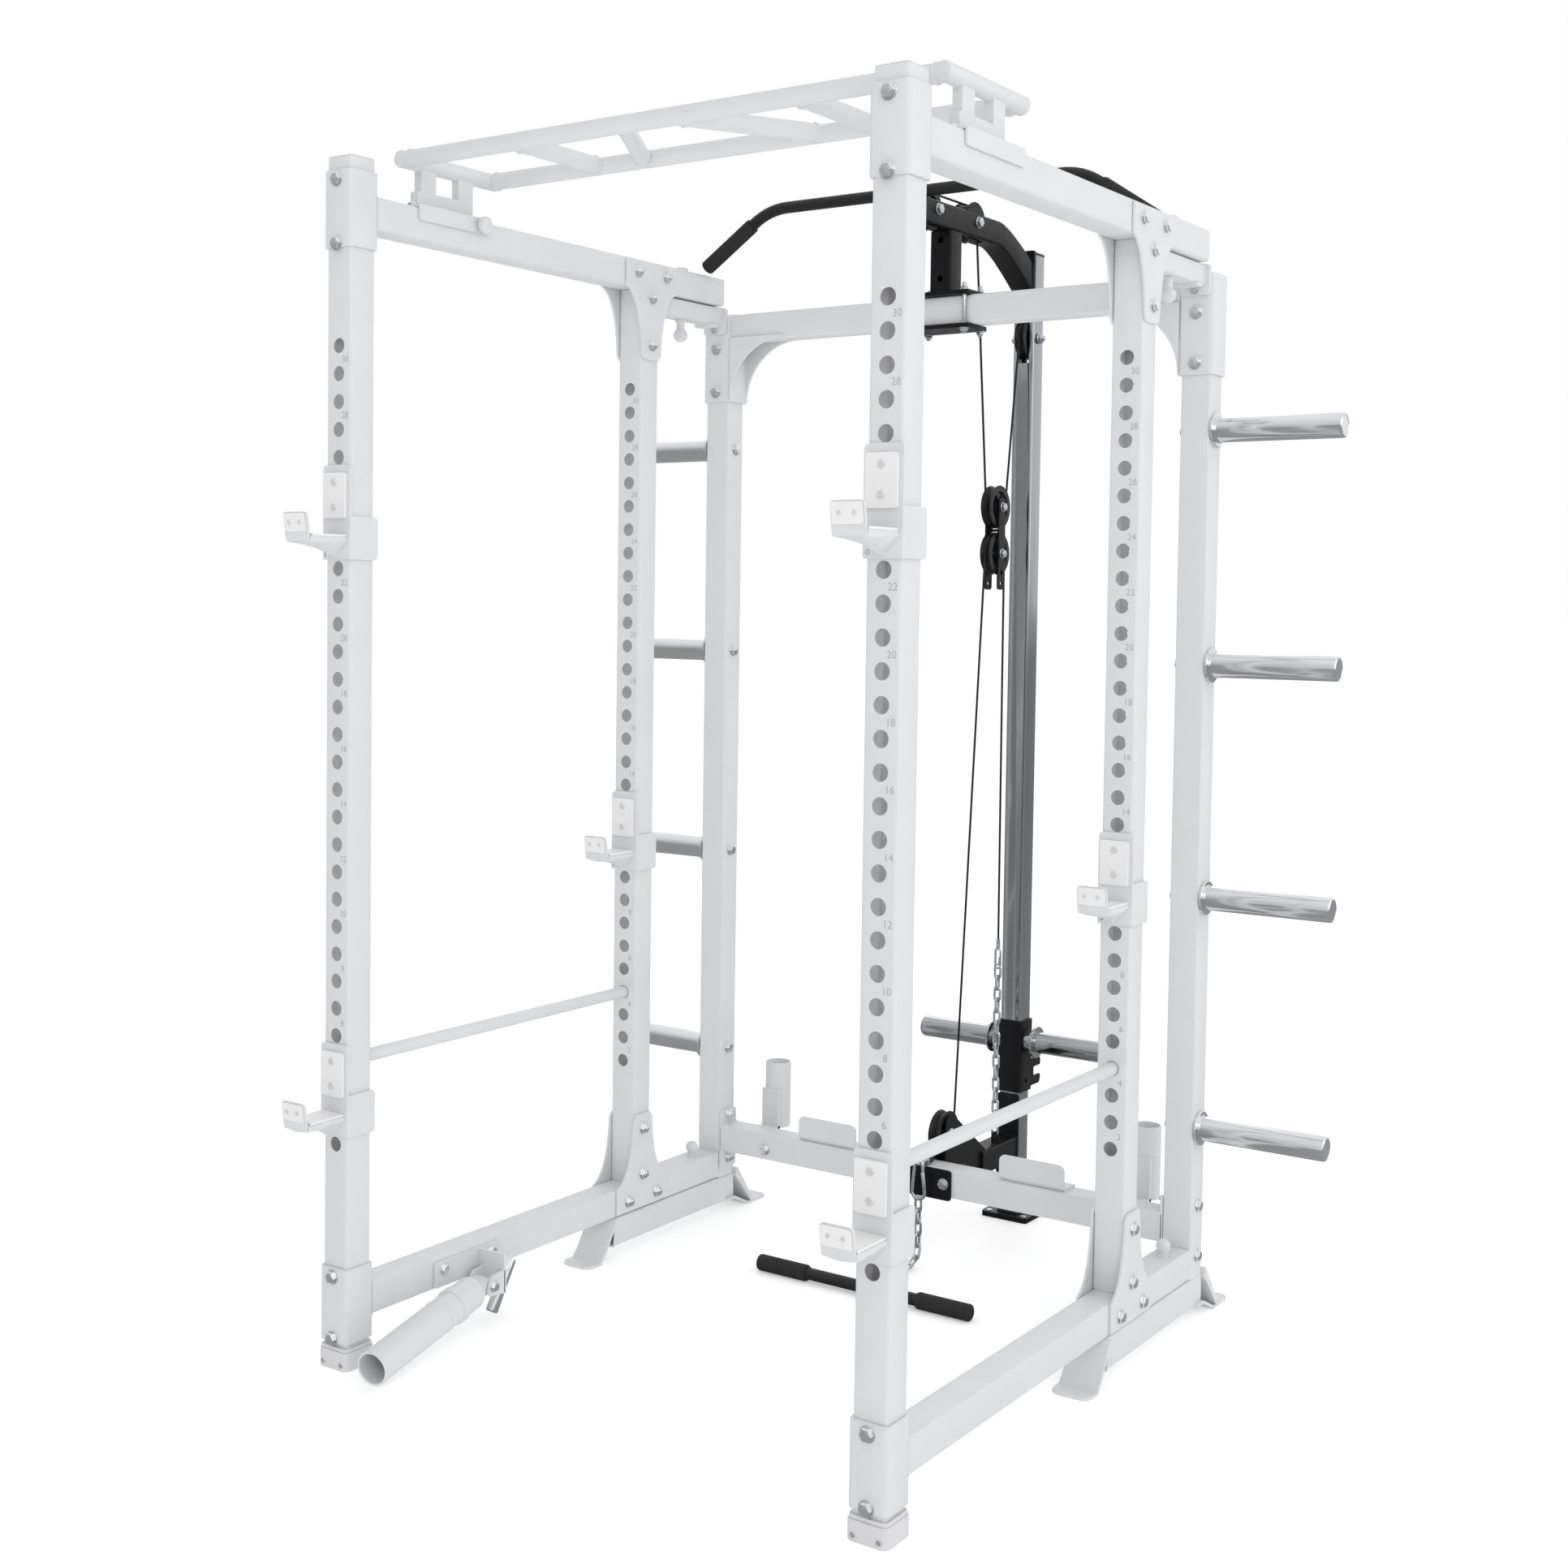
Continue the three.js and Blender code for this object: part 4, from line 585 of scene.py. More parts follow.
def piece(name, bm, material, body="cage", stands_for=(), bevel=0.8, ends=None, inside=None):
    """Finishes a drawing as a piece that rides on a body; given ends, it rides on none and keeps its transform baked
    in.
    """
    bmesh.ops.recalc_face_normals(bm, faces=bm.faces)
    bm.transform(TO_FRAME)
    mesh = bpy.data.meshes.new(name)
    bm.to_mesh(mesh)
    bm.free()
    mesh.materials.append(material)
    # Second slot for a tube's inner skin: painted light, paler than the coat.
    if inside:
        mesh.materials.append(inside)
    mesh.shade_smooth()
    obj = bpy.data.objects.new(name, mesh)
    bpy.context.scene.collection.objects.link(obj)
    if bevel:
        modifier = obj.modifiers.new("edges", "BEVEL")
        modifier.width, modifier.segments = bevel * MM, 2
        modifier.limit_method, modifier.angle_limit = "ANGLE", math.radians(38)
        modifier.harden_normals = True
    else:
        mesh.set_sharp_from_angle(angle=math.radians(38))
    if ends:
        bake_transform(obj)
    else:
        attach(obj, body)
    if stands_for:
        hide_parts(*stands_for)
    return obj


def figures(bm, text, at, size=11.0, depth=0.15):
    """Flat numerals facing the front, centred on a point."""
    curve = bpy.data.curves.new("figures", "FONT")
    curve.body, curve.size, curve.extrude = text, size, depth
    curve.align_x, curve.align_y = "CENTER", "CENTER"
    curve.resolution_u = 3
    item = bpy.data.objects.new("figures", curve)
    mesh = bpy.data.meshes.new_from_object(item)
    mesh.transform(Matrix.Translation(at) @ Matrix.Rotation(math.radians(90), 4, "X"))
    bm.from_mesh(mesh)
    bpy.data.objects.remove(item)
    bpy.data.curves.remove(curve)
    bpy.data.meshes.remove(mesh)


# ---- frame ------------------------------------------------------------------------------------------------

HOLES = [HOLE["first"] + HOLE["pitch"] * k for k in range(HOLE["count"])]


def hole_figures(name, x, y):
    bm = bmesh.new()
    for number in range(2, HOLE["count"] + 1, 2):
        figures(bm, str(number), (x + 16.5, y - 0.1, HOLES[number - 1] - 25.5), 17)
    piece(name, bm, FIGURES, bevel=0)


def collar(bm, bolts, x, z):
    """The welded sleeve round a front post at a rail whose underside is at z, and its two bolts."""
    low, high = z - COLLAR["below"], z + TUBE + COLLAR["above"]
    outer = TUBE + 2 * (GAP + PLATE)
    square_tube(bm, "z", (x, HALF), low, high, (outer, outer), PLATE, CORNER + PLATE)
    weld_square(bm, "y", (x, z + HALF), HALF + outer / 2 + 1)
    for way in (-1, 1):
        bolt(bolts, (x, -GAP - PLATE, z + HALF + way * COLLAR["bolt"] - 4), (0, -1, 0), across=20,
             washer=13.5)


def gusset_bolts(edge, way):
    rail = edge - way * 32
    return [(MID_C - 50, rail), (MID_C + 50, rail), (MID_C, edge + way * 18), (MID_C, edge + way * 118)]


def gusset(bm, bolts, x, edge, way):
    """Inner and outer T plates on a middle post, with through bolts."""
    flare, stem, reach, lap = 88, 33, 150, TUBE - 5

    def side(s):
        a, b, c = Vector((s * flare, 0)), Vector((s * (stem + 6), 18)), Vector((s * stem, reach - 12))
        curve = [a * (1 - t) ** 2 + b * 2 * t * (1 - t) + c * t * t for t in (i / 12 for i in range(13))]
        return [(MID_C + p.x, edge + way * p.y) for p in curve]

    top = [(MID_C + flare, edge - way * lap)] + side(1) + [(MID_C + stem - 8, edge + way * reach)]
    bottom = [(MID_C - flare, edge - way * lap)] + side(-1) + [(MID_C - stem + 8, edge + way * reach)]
    outline = top + bottom[::-1]
    inner = x - HALF - GAP
    outer = x + HALF + GAP
    prism(bm, "x", outline, inner - PLATE, inner)
    prism(bm, "x", outline, outer, outer + PLATE)
    for y, z in gusset_bolts(edge, way):
        bolt(bolts, (outer + PLATE, y, z), (1, 0, 0), across=19, nut=x < 0)
        bolt(bolts, (inner - PLATE, y, z), (-1, 0, 0), across=19, nut=x > 0)


def bent_plate(bm, x, width, line, thickness, round_end=0):
    """A plate of one thickness that follows a line in Y and Z, with the given width across X."""
    points = [Vector(p) for p in line]
    upper, lower = [], []
    for i, p in enumerate(points):
        before = (p - points[i - 1]).normalized() if i else None
        after = (points[i + 1] - p).normalized() if i < len(points) - 1 else None
        direction = ((before or after) + (after or before)).normalized()
        normal = Vector((-direction.y, direction.x))
        stretch = 1 / max(0.5, normal.dot(Vector((-(after or before).y, (after or before).x))))
        upper.append(p + normal * thickness * stretch)
        lower.append(p)
    put = placer("x")
    rings = []
    for i in range(len(points)):
        half = width / 2
        rings.append([put(lower[i].x, lower[i].y, x - half), put(lower[i].x, lower[i].y, x + half),
                      put(upper[i].x, upper[i].y, x + half), put(upper[i].x, upper[i].y, x - half)])
    if round_end:
        tip, way = points[-1], (points[-1] - points[-2]).normalized()
        normal = Vector((-way.y, way.x)) * thickness
        for j in range(1, 6):
            angle = math.radians(90 * j / 5)
            back_off = tip + way * round_end * math.sin(angle)
            half = width / 2 - round_end * (1 - math.cos(angle))
            rings.append([put(back_off.x, back_off.y, x - half), put(back_off.x, back_off.y, x + half),
                          put(back_off.x + normal.x, back_off.y + normal.y, x + half),
                          put(back_off.x + normal.x, back_off.y + normal.y, x - half)])
    loft(bm, rings)


def ball_knob(bm, at, direction, radius):
    """A round knob on its neck, with a flat on its far side."""
    profile = [(radius * 0.5, -radius * 1.35), (radius * 0.5, -radius * 0.8)]
    for j in range(9):
        angle = math.radians(-52 + 16.5 * j)
        profile.append((radius * math.cos(angle), radius * math.sin(angle)))
    lathe(bm, aim(at, direction), profile, 28)


def side_frame(name, side):
    x = side * POST_X
    bolts = bmesh.new()

    bm = bmesh.new()
    holed_post(bm, x, HALF, 0.5, POST_TOP - 4, HOLES)
    piece(f"post_front_{name}", bm, COAT, stands_for=(f"front_post_{name}",), bevel=0.5, inside=PAINTED_LIGHT_INSIDE)
    hole_figures(f"figures_front_{name}", x, 0)
    bm = bmesh.new()
    tube_cap(bm, "z", (x, HALF), POST_TOP - 4, 1)
    for grow, low, high in ((7, 0.2, 34), (5, 34, 41)):
        size = TUBE + 2 * grow
        square_tube(bm, "z", (x, HALF), low, high, (size, size), grow - GAP, CORNER + grow)
    for offset in (-23, 23):
        screw(bolts, (x + offset, -7, 11), (0, -1, 0), 4.5)
    piece(f"cap_and_boot_{name}", bm, PALE_PLASTIC, bevel=1.2)

    bm = bmesh.new()
    holed_post(bm, x, MID_C, BASE_Z + TUBE + GAP, TOP_Z - GAP, HOLES)
    piece(f"post_middle_{name}", bm, COAT, stands_for=(f"mid_post_{name}",), bevel=0.5,
          inside=PAINTED_LIGHT_INSIDE)
    hole_figures(f"figures_middle_{name}", x, MID_Y)

    bm = bmesh.new()
    low = BASE_Z - 2 + GAP
    square_tube(bm, "z", (x, REAR_C), low, REAR_TOP)
    piece(f"post_rear_{name}", bm, COAT, stands_for=(f"rear_post_{name}",), bevel=0.6)

    bm = bmesh.new()
    end = REAR_Y - 23
    square_tube(bm, "y", (x, TOP_Z + HALF), HALF + HALF + GAP + PLATE - 1, end)
    collar(bm, bolts, x, TOP_Z)
    lathe(bm, aim((x, REAR_Y - 145, TOP_Z + TUBE - 0.5), (0, 0, 1)), [(15, 0), (15, 8), (13.5, 10.3)], 28)
    piece(f"rail_top_{name}", bm, COAT, stands_for=(f"top_rail_{name}",), bevel=0.8)
    bm = bmesh.new()
    tube_cap(bm, "y", (x, TOP_Z + HALF), end, 1, proud=2.2)
    piece(f"rail_cap_{name}", bm, PALE_PLASTIC, bevel=0)

    bm = bmesh.new()
    square_tube(bm, "y", (x, BASE_Z + HALF), HALF + HALF + GAP + PLATE - 1, REAR_Y - GAP)
    collar(bm, bolts, x, BASE_Z)
    knob_y = REAR_Y - 65
    lathe(bm, aim((x, knob_y, BASE_Z + TUBE - 0.5), (0, 0, 1)), [(12, 0), (12, 3), (8, 4), (8, 12)], 24)
    ball_knob(bm, (x, knob_y, BASE_Z + TUBE + 20), (0, 0, 1), 14)
    piece(f"rail_base_{name}", bm, COAT, stands_for=(f"base_rail_{name}",), bevel=0.8)

    bm = bmesh.new()
    gusset(bm, bolts, x, TOP_Z, -1)
    gusset(bm, bolts, x, BASE_Z + TUBE, 1)
    piece(f"gussets_{name}", bm, COAT, stands_for=(f"top_gusset_{name}", f"base_gusset_{name}"), bevel=0.9)

    bm = bmesh.new()
    size, z = 40, TOP_Z - 23
    flange = REAR_Y - GAP - 6 - GAP - 9
    front = MID_Y + TUBE + GAP
    square_tube(bm, "y", (x, z), front, flange + 1, (size, size), WALL, 4)
    weld_square(bm, "y", (x, z), flange - 0.5, (size, size))
    prism(bm, "y", [(x + u, z - 9 + v) for u, v in rounded_rect(TUBE, size + 18, 6)], flange, flange + 9)
    box(bm, around(x, size / 2 + 3), (flange - 46, flange - 20), (z - size / 2 - 6, z - size / 2 + 1))
    bolt(bolts, (x, flange, z - 28), (0, -1, 0), across=13, washer=8.5)
    piece(f"tube_rear_top_{name}", bm, COAT, stands_for=(f"rear_top_tube_{name}",), bevel=0.8)

    bm = bmesh.new()
    y, under = REAR_Y - 145, TOP_Z - 43 - GAP
    ball_knob(bm, (x, y, under - 34), (0, 0, -1), 15.5)
    lathe(bm, aim((x, y, under - 26), (0, 0, 1)), [(9, 0), (9, 20), (13, 22), (13, 26)], 24)
    piece(f"knob_{name}", bm, PALE_PLASTIC, body=f"clamp_knob_{name}", stands_for=(f"clamp_knob_{name}",),
          bevel=0)
    bm = bmesh.new()
    lathe(bm, aim((x, y, under - 1), (0, 0, 1)), [(6, 0), (6, TUBE + 43 + 8), (5, TUBE + 43 + 10)], 16)
    piece(f"knob_stud_{name}", bm, ZINC, body=f"clamp_knob_{name}", bevel=0)

    bm = bmesh.new()
    top = BASE_Z - 2
    low, front = top - TUBE, MID_Y - 60
    square_tube(bm, "y", (x, low + HALF), front, REAR_BACK)
    bent_plate(bm, x, 76, [(front + 2, top - 1), (front - 6, top - 1), (front - 42, low), (front - 58, 6.3),
                           (front - 80, 6.3)], 6, round_end=18)
    bent_plate(bm, x, 76, [(REAR_BACK - 30, low + 1), (REAR_BACK - 4, low + 1), (REAR_BACK + 50, 0.3),
                           (REAR_BACK + 112, 0.3)], 6, round_end=18)
    prism(bm, "x", [(REAR_BACK + GAP, top + 12), (REAR_BACK + 7, top + 12), (REAR_BACK + 72, 7),
                    (REAR_BACK + 64, 5),
                    (REAR_BACK - 1, top - 6), (REAR_BACK - 1, top), (REAR_BACK + GAP, top)], *around(x, 38))
    weld_square(bm, "y", (x, low + HALF), front - 1)
    piece(f"tube_rear_base_{name}", bm, COAT, stands_for=(f"rear_base_tube_{name}",), bevel=0.9)
    for y, z in ((front - 72, 6), (REAR_BACK + 98, 6)):
        for offset in (-24, 24):
            lathe(bolts, aim((x + offset, y, z), (0, 0, 1)),
                  [(5.5, 0.1), (5.5, 0.5), (4.6, 0.5), (4.6, 0.15)], 18)

    for end_ in (-1, 1):
        bolt(bolts, (x + side * HALF, REAR_C, 180 + end_ * 50), (side, 0, 0))
    for k in range(4):
        node = f"weight_peg_{name}_{k + 1}"
        z = middle(node, 2)
        start = side * (POST_X + HALF + GAP)
        bm = bmesh.new()
        lathe(bm, aim((start, REAR_C, z), (side, 0, 0)),
              [(34, 0), (34, 5.5), (33, 7), (25.5, 7.4), (24, 9), (24, 249), (23.2, 253), (20.5, 254.6),
               (20.2, 253.6)], 40)
        weld_round(bm, (start + side * 8, REAR_C, z), (side, 0, 0), 24.5, 1.8)
        bolt(bm, (side * (POST_X - HALF - GAP), REAR_C, z), (-side, 0, 0), across=19)
        piece(f"peg_{name}_{k + 1}", bm, PEG_CHROME, stands_for=(node,), bevel=0.5)
    piece(f"bolts_{name}", bolts, BRIGHT_ZINC, bevel=0.3)


for side_name, side_way in SIDES:
    side_frame(side_name, side_way)


def rear_top_crossmember():
    bm, bolts = bmesh.new(), bmesh.new()
    wrap, sleeve, radius = 6, 195, 140
    half = HALF + GAP + wrap
    reach = POST_X - half
    z = REAR_TOP - HALF
    square_tube(bm, "x", (REAR_C, z), -reach, reach)
    low, under = REAR_TOP - sleeve, REAR_TOP - TUBE
    for _, side in SIDES:
        x = side * POST_X
        square_tube(bm, "z", (x, REAR_C), low, REAR_TOP, (2 * half, 2 * half), wrap, CORNER + wrap)
        weld_square(bm, "x", (REAR_C, z), side * (reach - 1))
        edge = x - side * half
        outline = [(edge + side, under + 8), (edge + side, low + 2)]
        for i in range(17):
            angle = math.radians(90 * i / 16)
            outline.append((edge - side * radius * (1 - math.cos(angle)),
                            low + 2 + (under - low) * math.sin(angle)))
        outline.append((edge - side * radius, under + 8))
        for face in (REAR_C - half, REAR_C + half - wrap):
            prism(bm, "y", outline, face, face + wrap)
        for drop in (75, 172):
            bolt(bolts, (x, REAR_C - half, REAR_TOP - drop), (0, -1, 0), across=20, washer=13.5)
            bolt(bolts, (x, REAR_C + half, REAR_TOP - drop), (0, 1, 0), nut=True)
    piece("crossmember_rear_top", bm, COAT, stands_for=("rear_top_crossmember",), bevel=0.9)
    piece("crossmember_top_bolts", bolts, BRIGHT_ZINC, bevel=0.3)


rear_top_crossmember()


def rear_bottom_crossmember():
    bm, bolts = bmesh.new(), bmesh.new()
    z = 150
    reach = POST_X - HALF - GAP
    square_tube(bm, "x", (REAR_C, z + HALF), -reach + 2, reach - 2)
    for _, side in SIDES:
        face = side * reach
        plate = fillet([(REAR_Y, z - 42), (REAR_BACK, z - 42), (REAR_BACK, z + TUBE + 32),
                        (REAR_Y, z + TUBE + 32)], 8)
        prism(bm, "x", plate, *ordered(face, face - side * PLATE))
        weld_square(bm, "x", (REAR_C, z + HALF), face - side * (PLATE + 1))
        for end in (-1, 1):
            bolt(bolts, (face - side * PLATE, REAR_C, z + HALF + end * 50), (-side, 0, 0), nut=True)
        fx = side * 250
        front, top = REAR_Y + 2, z + TUBE
        bent_plate(bm, fx, 148, [(front + 56, top), (front + 8, top), (front, top + 10),
                                 (front, top + 42)], -PLATE,
                   round_end=13)
        for offset in (-40, 40):
            bolt(bolts, (fx + offset, front + 32, top + PLATE), (0, 0, 1), across=13, washer=9)
        hx, hy = side * 455, REAR_BACK + 55
        lathe(bm, aim((hx, hy, 200), (0, 0, 1)),
              [(26, 3), (26, 149), (26.6, 150), (28.4, 150), (29, 149.4), (29, 0)], 40, loop=False)
        lathe(bm, aim((hx, hy, 202), (0, 0, 1)), [(26.2, 0), (26.2, 2)], 40)
        box(bm, around(hx, 22), (REAR_BACK - 1, hy - 24), (z + 8, z + TUBE - 4))
        box(bm, around(hx, 22), (hy - 33, hy - 24), (z + 8, 290))
        weld_round(bm, (hx, hy, 290), (0, 0, 1), 28.6, 1.6)
        bolt(bolts, (side * (455 - 42), REAR_Y, z + 24), (0, -1, 0))
    piece("crossmember_rear_bottom", bm, COAT, stands_for=("rear_bottom_crossmember",), bevel=0.9)
    piece("crossmember_bottom_bolts", bolts, BRIGHT_ZINC, bevel=0.3)


rear_bottom_crossmember()


def chin_up_frame():
    bm, bolts = bmesh.new(), bmesh.new()
    radius, front, rear = 16, 165, 405
    rail = TOP_Z + TUBE
    z = rail + 88
    for y in (front, rear):
        rod(bm, (-POST_X, y, z), (POST_X, y, z), radius, 32)
    for _, side in SIDES:
        x = side * POST_X
        rod(bm, (x, front - 15, z), (x, rear + 15, z), radius, 32, cap=5)
        for fx, rx in ((300, 300), (55, 195)):
            rod(bm, (side * fx, front, z), (side * rx, rear, z), radius, 32)
            for y, px, way in ((front, fx, 1), (rear, rx, -1)):
                lean = Vector((side * (rx - fx), rear - front, 0)).normalized() * way
                weld_round(bm, Vector((side * px, y, z)) + lean * (radius + 0.5), lean, radius + 0.4)
        for y in (front, rear):
            weld_round(bm, (x - side * (radius + 0.5), y, z), (-side, 0, 0), radius + 0.4)
        base = rail + GAP
        for y in (220, 322):
            outline = fillet([(y - 20, base + PLATE), (y + 20, base + PLATE), (y + 20, z), (y - 20, z)], 2)
            prism(bm, "x", outline, *around(x, 9))
        wide = HALF + GAP + PLATE
        saddle = fillet([(170, rail - 25), (365, rail - 25), (365, base + PLATE), (170, base + PLATE)],
                        [7, 7, 4, 4])
        for way in (-1, 1):
            face = x + way * (wide - PLATE / 2)
            prism(bm, "x", saddle, *around(face, PLATE / 2))
        box(bm, around(x, wide - 0.4), (170.4, 364.6), (base, base + PLATE - 0.4))
        web = fillet([(190, base + PLATE), (335, base + PLATE), (335, base + 35), (190, base + 35)],
                     [0, 0, 6, 6])
        prism(bm, "x", web, *around(x, 9.5))
        bolt(bolts, (x, 186, base + PLATE), (0, 0, 1), across=16, washer=11)
        bolt(bolts, (x, 350, base + PLATE), (0, 0, 1), across=16, washer=11)
        lathe(bm, aim((x - side * wide, 335, rail - 10), (-side, 0, 0)),
              [(8, 0), (8, 6), (15, 8), (16, 10), (16, 17), (14, 20), (5, 21)], 28)
    piece("chin_up_bars", bm, COAT, stands_for=("chin_up_frame",), bevel=0.8)
    piece("chin_up_bolts", bolts, BRIGHT_ZINC, bevel=0.3)


chin_up_frame()

# ---- loose gear -------------------------------------------------------------------------------------------


def j_cup(name, body, x, front, bottom):
    """Cup on a post: plate, cheek, keeled hook, liners and screws. Local Y runs back into the post."""
    bm = bmesh.new()
    shift = Matrix.Translation((x, front, bottom))
    face, low, high = -GAP, -HALF - 3, HALF + GAP + PLATE
    plate = fillet([(low, 0), (high - 0.4, 0), (high - 0.4, 170), (low, 170)], [3, 3, 9, 9])
    prism(bm, "y", plate, face - PLATE, face)
    knife = bmesh.new()
    rod(knife, (low + 8, -20, 10), (low + 8, 20, 10), 4, 16)
    bm = carve(bm, knife)
    cheek = fillet([(face - PLATE + 0.5, 0.3), (65, 0.3), (65, 78), (face - PLATE + 0.5, 78)], [0, 8, 8, 0])
    prism(bm, "x", cheek, HALF + GAP, high)
    # keeled underside: width and keel depth shrink from the plate to the lip
    rings = []
    for y, half, top, flank, keel in ((face - PLATE + 1, 29, 40, 34, 5), (-26, 29, 40, 33, 12),
                                      (-52, 29, 40, 31, 20),
                                      (-72, 29, 40, 29, 24), (-96, 29, 40, 30, 27)):
        rings.append([Vector((sx * half, y, z)) for sx, z in ((-1, top), (1, top), (1, flank))]
                     + [Vector((4, y, keel)), Vector((-4, y, keel)), Vector((-half, y, flank))])
    loft(bm, rings)
    lip = fillet([(-29, 30), (29, 30), (29, 82), (-29, 82)], [4, 4, 9, 9])
    lean = [(u, -93 - (v - 30) * 0.16, v) for u, v in lip]
    loft(bm, [[Vector(p) for p in lean], [Vector((u, y - 5, v)) for u, y, v in lean]])
    rod(bm, (0, face - 1, 34), (0, 50, 34), 12, 24, cap=2.5)
    bm.transform(shift)
    piece(f"{name}_steel", bm, COAT, body=body, stands_for=(name,), bevel=0.8)
    bm = bmesh.new()
    liner = fillet([(-28, 74), (28, 74), (28, 156), (-28, 156)], 5)
    prism(bm, "y", liner, face - PLATE - 6, face - PLATE)
    prism(bm, "z", [(-27.5, -88), (27.5, -88), (27.5, face - PLATE), (-27.5, face - PLATE)], 40, 45)
    pad = fillet([(-27, 47), (27, 47), (27, 80), (-27, 80)], 5)
    for offset, thick in ((0.2, 4), (-5.2, -1.6)):
        inside = [(u, -93 - (v - 30) * 0.16 + offset, v) for u, v in pad]
        loft(bm, [[Vector(p) for p in inside], [Vector((u, y + thick, v)) for u, y, v in inside]])
    bm.transform(shift)
    piece(f"{name}_liner", bm, LINER, body=body, bevel=1.3)
    bm = bmesh.new()
    for z in (139, 94):
        screw(bm, (0, face - PLATE - 6.2, z), (0, -1, 0), 7)
    for u in (-13, 13):
        screw(bm, (u, -93 - 34 * 0.16 - 7, 64), (0, -1, 0.16), 4)
    bm.transform(shift)
    piece(f"{name}_screws", bm, SCREW_ZINC, body=body, bevel=0)


for side_name, side_way in SIDES:
    for cup_place, cup_front in (("low", 0), ("high", 0), ("mid", MID_Y)):
        cup_name = f"j_cup_{cup_place}_{side_name}"
        j_cup(cup_name, cup_name, side_way * POST_X, cup_front, span(cup_name, 2)[0])
    drawing = bmesh.new()
    rod_name = f"safety_rod_{side_name}"
    rod_z, (rod_front, rod_back) = middle(rod_name, 2), span(rod_name, 1)
    rod(drawing, (side_way * POST_X, rod_front + 1, rod_z), (side_way * POST_X, rod_back - 1, rod_z), 12.4,
        32, cap=2.5)
    piece(f"{rod_name}_bar", drawing, COAT, body=rod_name, stands_for=(rod_name,), bevel=0)


def landmine():
    pivot = Vector((-POST_X + 73, 322, 84))
    mouth = Vector((-POST_X + 123, -28, 35))
    along = (mouth - pivot).normalized()
    yoke = 44
    bm, bolts = bmesh.new(), bmesh.new()
    face = -POST_X + HALF + GAP
    plate = fillet([(228, BASE_Z + 2), (412, BASE_Z + 2), (412, BASE_Z + 52), (228, BASE_Z + 52)], 6)
    prism(bm, "x", plate, face, face + PLATE)
    for y in (252, 388):
        bolt(bolts, (face + PLATE, y, BASE_Z + 36), (1, 0, 0), across=17, washer=11)
    x, y, z = pivot
    box(bm, (face, x + yoke / 2 + 6), (y + 30, y + 38), (z - 24, BASE_Z + 50))
    lug = fillet([(y - 18, z - 18), (y + 34, z - 22), (y + 34, z + 24), (y - 6, z + 20)], [16, 4, 4, 12])
    for at in (x - yoke / 2 - 6, x + yoke / 2):
        prism(bm, "x", lug, at, at + 6)
    piece("landmine_yoke", bm, COAT, stands_for=("landmine_bracket",), bevel=0.8)
    bolt(bolts, (x + yoke / 2 + 6, y, z), (1, 0, 0), across=17, washer=11)
    bolt(bolts, (x - yoke / 2 - 6, y, z), (-1, 0, 0), across=17, washer=0)
    rod(bolts, (x - yoke / 2 - 5, y, z), (x + yoke / 2 + 5, y, z), 6.8, 20)
    piece("landmine_bolts", bolts, BRIGHT_ZINC, bevel=0.3)
    bm = bmesh.new()
    tilt = Vector((0, math.sin(0.54), math.cos(0.54)))
    centre = Vector((x, y + 53, z - 18))
    rod(bm, centre - tilt * 53, centre + tilt * 53, 12, 28, cap=2)
    piece("landmine_pin", bm, PEG_CHROME, bevel=0)
    bm = bmesh.new()
    start = pivot + along * 30
    length = (mouth - start).length
    lathe(bm, aim(start, along), [(12, 0), (20, 1), (32, 12), (32, length - 2), (31.4, length - 0.4),
                                  (29, length),
                                  (28, length - 1), (28, 30), (6, 26)], 44)
    weld_round(bm, start + along * 120, along, 31.4, 2.4)
    lathe(bm, aim(start + along * 60, along), [(32.2, 0), (35, 1), (35, 19), (32.2, 20)], 44)
    eye = fillet([(y - 44, z - 22), (y + 2, z - 14), (y + 13, z), (y + 4, z + 14), (y - 40, z + 10)],
                 [3, 8, 9, 8, 3])
    prism(bm, "x", eye, *around(x, yoke / 2 - 1))
    piece("landmine_tube", bm, COAT, body="landmine_sleeve", stands_for=("landmine_sleeve",), bevel=0.8)


landmine()
# ---- lat pulldown and low row -----------------------------------------------------------------------------


def at(x, y, z):
    return TO_FRAME @ Vector((x, y, z))


